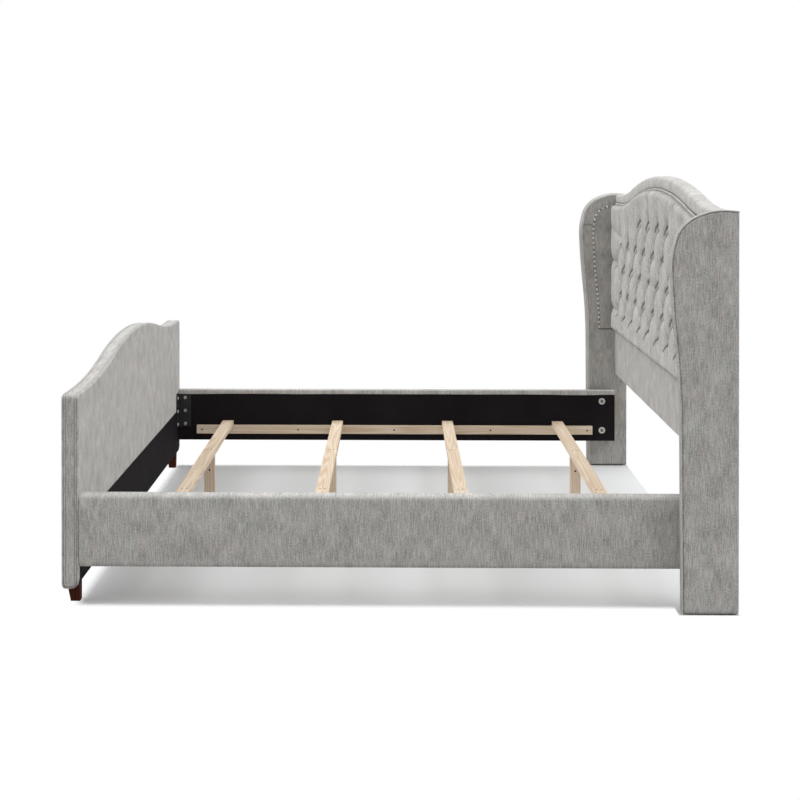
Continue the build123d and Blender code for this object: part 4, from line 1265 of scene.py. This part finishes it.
def painted(name, colour, roughness):
    """Paint with a faint peel."""
    finish = Finish(name)
    peel = finish.noise(finish.place(), (420, 420, 420), 3, 0.5)
    shade = finish.ramp(peel, (0.3, tinted(colour, 0.8)), (0.7, colour))
    return finish.done(shade, roughness + peel * 0.15, peel, 0.0002)


black_steel = painted("black_bracket_paint", (0.018, 0.018, 0.019), 0.35)
zinc = metal("zinc_plate", (0.74, 0.73, 0.69), 0.26, 0.8)
for name in sides:
    dress(f"corner_bracket_{name}", black_steel, 0.0008)
for node in ("bracket_bolts", "wing_bolts", "leg_bolts"):
    dress(node, zinc)
dress("rail_bolts", metal("socket_bolt_steel", (0.26, 0.245, 0.22), 0.35, 0.7))
dress("rail_washers", zinc, 0.0008)


# Footboard outline
# The footboard's top falls from a crown into level shoulders, with a small round corner at each end. Seen
# from the end, its two lower corners are round.

foot_outer_low, foot_outer_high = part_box("footboard_outer_pad")
foot_inner_low, foot_inner_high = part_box("footboard_inner_pad")
foot_half = foot_outer_high.y
foot_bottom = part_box("footboard_edge_band")[0].z
foot_corner = 0.016
foot_arch = 0.092
foot_shares = (0.455, 0.885)
outer_corner = 0.016
inner_corner = 0.026
foot_top = camelback(foot_half, foot_outer_high.z - foot_arch, foot_arch, *foot_shares)
outer_centre = (foot_outer_low.x + outer_corner, foot_bottom + outer_corner)
inner_centre = (foot_inner_high.x - inner_corner, foot_bottom + inner_corner)


def foot_edge(y):
    """The height of the footboard's top, with its round end corners."""
    past = np.maximum(np.abs(y) - foot_half + foot_corner, 0)
    return foot_top(y) - foot_corner + np.sqrt(np.maximum(foot_corner**2 - past**2, 0))


# Footboard pads
# Foam under chenille on both faces of the board. The outer cloth is drawn under the board, and the inner
# one ends above a black lining that runs up a little at both ends, where the brackets are.

foot_lining_low, foot_lining_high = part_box("footboard_lining")
foot_lining_top = foot_bottom + 0.208
ear_width = 0.103
ear_start = foot_half - ear_width
pad_roll = 0.006
pad_crown = 0.0028
crown_run = 0.09
pad_unevenness = 0.0008
uneven_run = 0.05
hem_roll = 0.0035
ear_step = 0.004
strip_step = 0.0005
pad_seam_width = 0.0028
pad_seam_shade = 0.6
end_strip = 0.0155
strip_low = foot_bottom + 0.0078
under_board = 0.009


def face_section(y, face, back, low, seed):
    """A padded face in X and Z at one place: up its back, over the top and down. Its depth comes with it."""
    end_gap = foot_half - abs(y)
    outward = math.copysign(1, face - back)
    depth = abs(face - back) - pad_roll * (1 - float(soft_edge(end_gap, pad_roll)))
    top = float(foot_edge(y)) - 0.0004
    roll = min(pad_roll, depth - 0.0004)
    shape = [(back, low), (back, top)]
    for angle in np.radians(np.linspace(90, 0, 7)):
        x = back + outward * (depth - roll + roll * math.cos(angle))
        shape.append((x, top - roll + roll * math.sin(angle)))
    for share in np.linspace(0.03, 0.97, 34):
        z = top - roll - (top - roll - low - 0.004) * share
        upright = min(1, (top - z) / crown_run, (z - low + 0.01) / 0.05)
        crown = pad_crown * min(1, end_gap / crown_run) * upright
        uneven = pad_unevenness * float(ripple(y, z, 0.3, seed)) * min(1, end_gap / uneven_run)
        shape.append((back + outward * (depth + crown + uneven), z))
    return shape, depth


def lining_edge(y):
    """The height of the lining's upper edge, which steps up at each ear."""
    ear = min(max((abs(y) - ear_start) / ear_step + 0.5, 0), 1)
    return foot_lining_top + (foot_lining_high.z - foot_lining_top) * ear


def inner_pad_section(y):
    """The inner pad ends above the lining, but a narrow strip of it runs down both ends to the bottom."""
    back = foot_inner_low.x
    end = min(max((abs(y) - foot_half + end_strip) / strip_step, 0), 1)
    low = lining_edge(y) + (strip_low - lining_edge(y)) * end
    shape, depth = face_section(y, foot_inner_high.x, back, low, 41)
    shape += soft_turn((back + depth - 0.003, low + hem_roll), hem_roll, 0, -90, 5)
    section = []
    for x, z in shape:
        fall = max(inner_centre[1] - z, 0)
        limit = inner_centre[0] + math.sqrt(inner_corner**2 - fall**2)
        section.append((max(min(x, limit), back), z))
    return section


def outer_pad_section(y):
    """The outer pad turns under the board, where its cloth is stapled."""
    centre_x, low = outer_centre
    shape, depth = face_section(y, foot_outer_low.x, foot_outer_high.x, low, 43)
    for angle in np.radians(np.linspace(180, 270, 9)):
        x = centre_x + (outer_corner - 0.0002) * math.cos(angle)
        z = low + (outer_corner + 0.0006) * math.sin(angle)
        shape.append((max(x, foot_outer_high.x - depth), z))
    shape += [(centre_x + under_board, foot_bottom - 0.0006), (centre_x + under_board, foot_bottom - 0.00005)]
    shape += [(centre_x, foot_bottom - 0.00005), (foot_outer_high.x, foot_bottom + 0.002)]
    return shape


outer_places = fine_ended(-foot_half, foot_half, 170)
ear_steps = ear_start + np.array([-0.0021, -0.001, 0, 0.001, 0.0021])
strip_steps = foot_half - end_strip + np.array([-0.0002, 0, 0.0005, 0.0008])
inner_places = np.sort(np.concatenate([outer_places, ear_steps, -ear_steps, strip_steps, -strip_steps]))
# Painted shade darkens each pad along its back edge, in the seam beside the welt.
for name, node, places, section in (
    ("footboard_outer_cloth", "footboard_outer_pad", outer_places, outer_pad_section),
    ("footboard_inner_cloth", "footboard_inner_pad", inner_places, inner_pad_section),
):
    sections = np.array([[(x, y, z) for x, z in section(y)] for y in places])
    seam = np.clip(1 - np.abs(sections[:, :, 0] - sections[:, :1, 0]) / pad_seam_width, 0, 1)
    cloth = face_cloth(sections, (0.7, 1.3), pad_seam_shade * seam)
    pad = lofted(name, sections, upholstery, cloth=cloth, flip=node == "footboard_inner_pad")
    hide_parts(node)


# Footboard lining
# The same black non-woven cloth as on the rails, stapled over the lower part of the inner face, round the
# lower corner and under the board.

foot_lining_slack = 0.0004


def foot_lining_section(y):
    """The lining's closed section in X and Z at one place across the bed."""
    top = lining_edge(y)
    face, back = foot_lining_high.x - 0.0003, foot_lining_low.x
    centre_x, centre_z = inner_centre
    shape = [(back, top), (face - 0.0012, top)]
    for share in np.linspace(0, 1, 12):
        z = top - 0.001 - (top - 0.001 - centre_z) * share
        shape.append((face - foot_lining_slack * (1 + float(ripple(y, z, 0.2, 45))), z))
    for angle in np.radians(np.linspace(0, -90, 9)):
        x = centre_x + (inner_corner - 0.0003) * math.cos(angle)
        shape.append((x, centre_z + (inner_corner + 0.0008) * math.sin(angle)))
    shape += [(centre_x - 0.008, foot_bottom - 0.0008), (centre_x - 0.008, foot_bottom - 0.0001)]
    shape += [(centre_x, foot_bottom - 0.0001), (back, foot_bottom + 0.0062)]
    return shape


lining_half = foot_half - end_strip
lining_places = np.linspace(-lining_half, lining_half, 120)
lining_places = np.sort(np.concatenate([lining_places, ear_steps, -ear_steps]))
lining_points = np.array([[(x, y, z) for x, z in foot_lining_section(y)] for y in lining_places])
cloth = cloth_coordinates(lining_points, across=0, along=1)
foot_lining = lofted("footboard_black_cloth", lining_points, lining, cloth, flip=True, crease=40)
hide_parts("footboard_lining")


# Footboard edge band and welts
# A strip of chenille runs up both ends and over the top, sewn in between two welts that meet in a round
# turn at the bottom of each end.

low_z = foot_bottom + np.array([0, 0.0006, 0.002, 0.004, 0.007, 0.011, 0.016, 0.021, 0.026])
shoulder_z = foot_top(foot_half) - foot_corner
side_z = np.concatenate([low_z, np.linspace(low_z[-1], shoulder_z, 45)[1:]])
turn_angles = np.radians(np.linspace(0, 90, 7))[1:]
turn_y = foot_half - foot_corner + foot_corner * np.cos(turn_angles)
turn_z = shoulder_z + foot_corner * np.sin(turn_angles)
over_y = np.linspace(foot_half - foot_corner, -foot_half + foot_corner, 201)[1:-1]
rim_y = np.concatenate([0 * side_z + foot_half, turn_y, over_y, -turn_y[::-1], 0 * side_z - foot_half])
rim_z = np.concatenate([side_z, turn_z, foot_top(over_y), turn_z[::-1], side_z[::-1]])
rim = np.stack([rim_y, rim_z], axis=1)
rim_tangent = np.gradient(rim, axis=0)
rim_tangent /= np.linalg.norm(rim_tangent, axis=1)[:, None]
rim_inward = np.stack([-rim_tangent[:, 1], rim_tangent[:, 0]], axis=1)
foot_band_depth = 0.005
groove_depth = 0.0026
groove_place = 0.0035
groove_width = 0.0025
inner_seam_shade = 0.45
outer_seam_shade = 0.15


def band_range(z):
    """How far the band reaches in X at a height: less, where the board's lower corners are round."""
    fall = max(outer_centre[1] - z, 0)
    left = outer_centre[0] - math.sqrt(max(outer_corner**2 - fall**2, 0))
    fall = max(inner_centre[1] - z, 0)
    right = inner_centre[0] + math.sqrt(max(inner_corner**2 - fall**2, 0))
    return max(left, foot_outer_high.x), min(right, foot_inner_low.x)


# Painted shade darkens the band in a groove along each seam, more on the inner side than on the outer.
foot_band_sections = []
foot_band_painted_shade = []
for point, inward in zip(rim, rim_inward):
    left, right = band_range(point[1])
    section = []
    seams = []
    for share in np.linspace(0, 1, 23):
        x = left + (right - left) * share
        gap = min(x - left, right - x, abs(point[1] - foot_bottom))
        groove = math.exp(-(((gap - groove_place) / groove_width) ** 2))
        place = point + inward * (groove_depth * groove + 0.0002)
        section.append((x, *place))
        seams.append((inner_seam_shade if x > (left + right) / 2 else outer_seam_shade) * groove)
    under = point + inward * foot_band_depth
    section += [(right, *under), (left, *under)]
    foot_band_sections.append(section)
    foot_band_painted_shade.append(seams + [1.0, 1.0])
foot_band_sections = np.array(foot_band_sections)
foot_band_cloth = cloth_coordinates(foot_band_sections)
foot_band_cloth[:, :, 2] = foot_band_painted_shade
foot_band = lofted("footboard_edge_cloth", foot_band_sections, upholstery, cloth=foot_band_cloth, flip=True)
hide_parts("footboard_edge_band")

foot_welt_radius = 0.0025
foot_welt_inset = 0.0016
outer_seam = foot_outer_high.x + foot_welt_radius
inner_seam = foot_inner_low.x - foot_welt_radius
welt_start = int(np.argmax(rim[:, 1] >= inner_centre[1]))
welt_rim = (rim + rim_inward * foot_welt_inset)[welt_start : len(rim) - welt_start]
foot_welts = {"outer": np.insert(welt_rim, 0, outer_seam, axis=1)}
foot_welts["inner"] = np.insert(welt_rim, 0, inner_seam, axis=1)
outer_turn = outer_centre[0] - outer_seam
inner_turn = inner_seam - inner_centre[0]
turn_path = [(outer_seam, inner_centre[1])]
turn_path += soft_turn(outer_centre, outer_turn, 180, 270, 7)
turn_path += soft_turn((inner_centre[0], outer_centre[1] - outer_turn + inner_turn), inner_turn, 270, 360, 12)
turn_path.append((inner_seam, inner_centre[1]))
for name, side in sides.items():
    bed_end = side * (foot_half - foot_welt_inset)
    foot_welts[f"turn_{name}"] = np.insert(np.array(turn_path), 1, bed_end, axis=1)
for place, path in foot_welts.items():
    rings = cord_rings(path, foot_welt_radius, 10)
    cord = lofted(f"footboard_welt_{place}", rings, welt_cloth, crease=80)
    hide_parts("footboard_welts")
dress("footboard_panel", plywood)


# Footboard legs
# Square tapered feet of hardwood, stained red-brown under a satin varnish. Each is held by a bolt up into
# the footboard's board.

leg_stain = (0.078, 0.0125, 0.0042)
leg_grain = (0.030, 0.0055, 0.0024)
leg_wood = timber("stained_leg_wood", 2, leg_stain, leg_grain, leg_grain, 0.0, Specular_IOR_Level=0.15)
for name in sides:
    dress(f"footboard_leg_{name}", leg_wood, 0.0015)


# Slats
# Four planed slats of raw pine lie across the bed on the cleats. Each is screwed to two short pine legs
# that stand on the floor.

pine_across = pine("pine_across", 1)
pine_upright = pine("pine_upright", 2)
for number in range(1, 5):
    dress(f"slat_{number}", pine_across, planed_edge)
    dress(f"slat_{number}_legs", pine_upright, planed_edge)
for node in ("slat_screws", "slat_leg_screws"):
    dress(node, screw_steel)
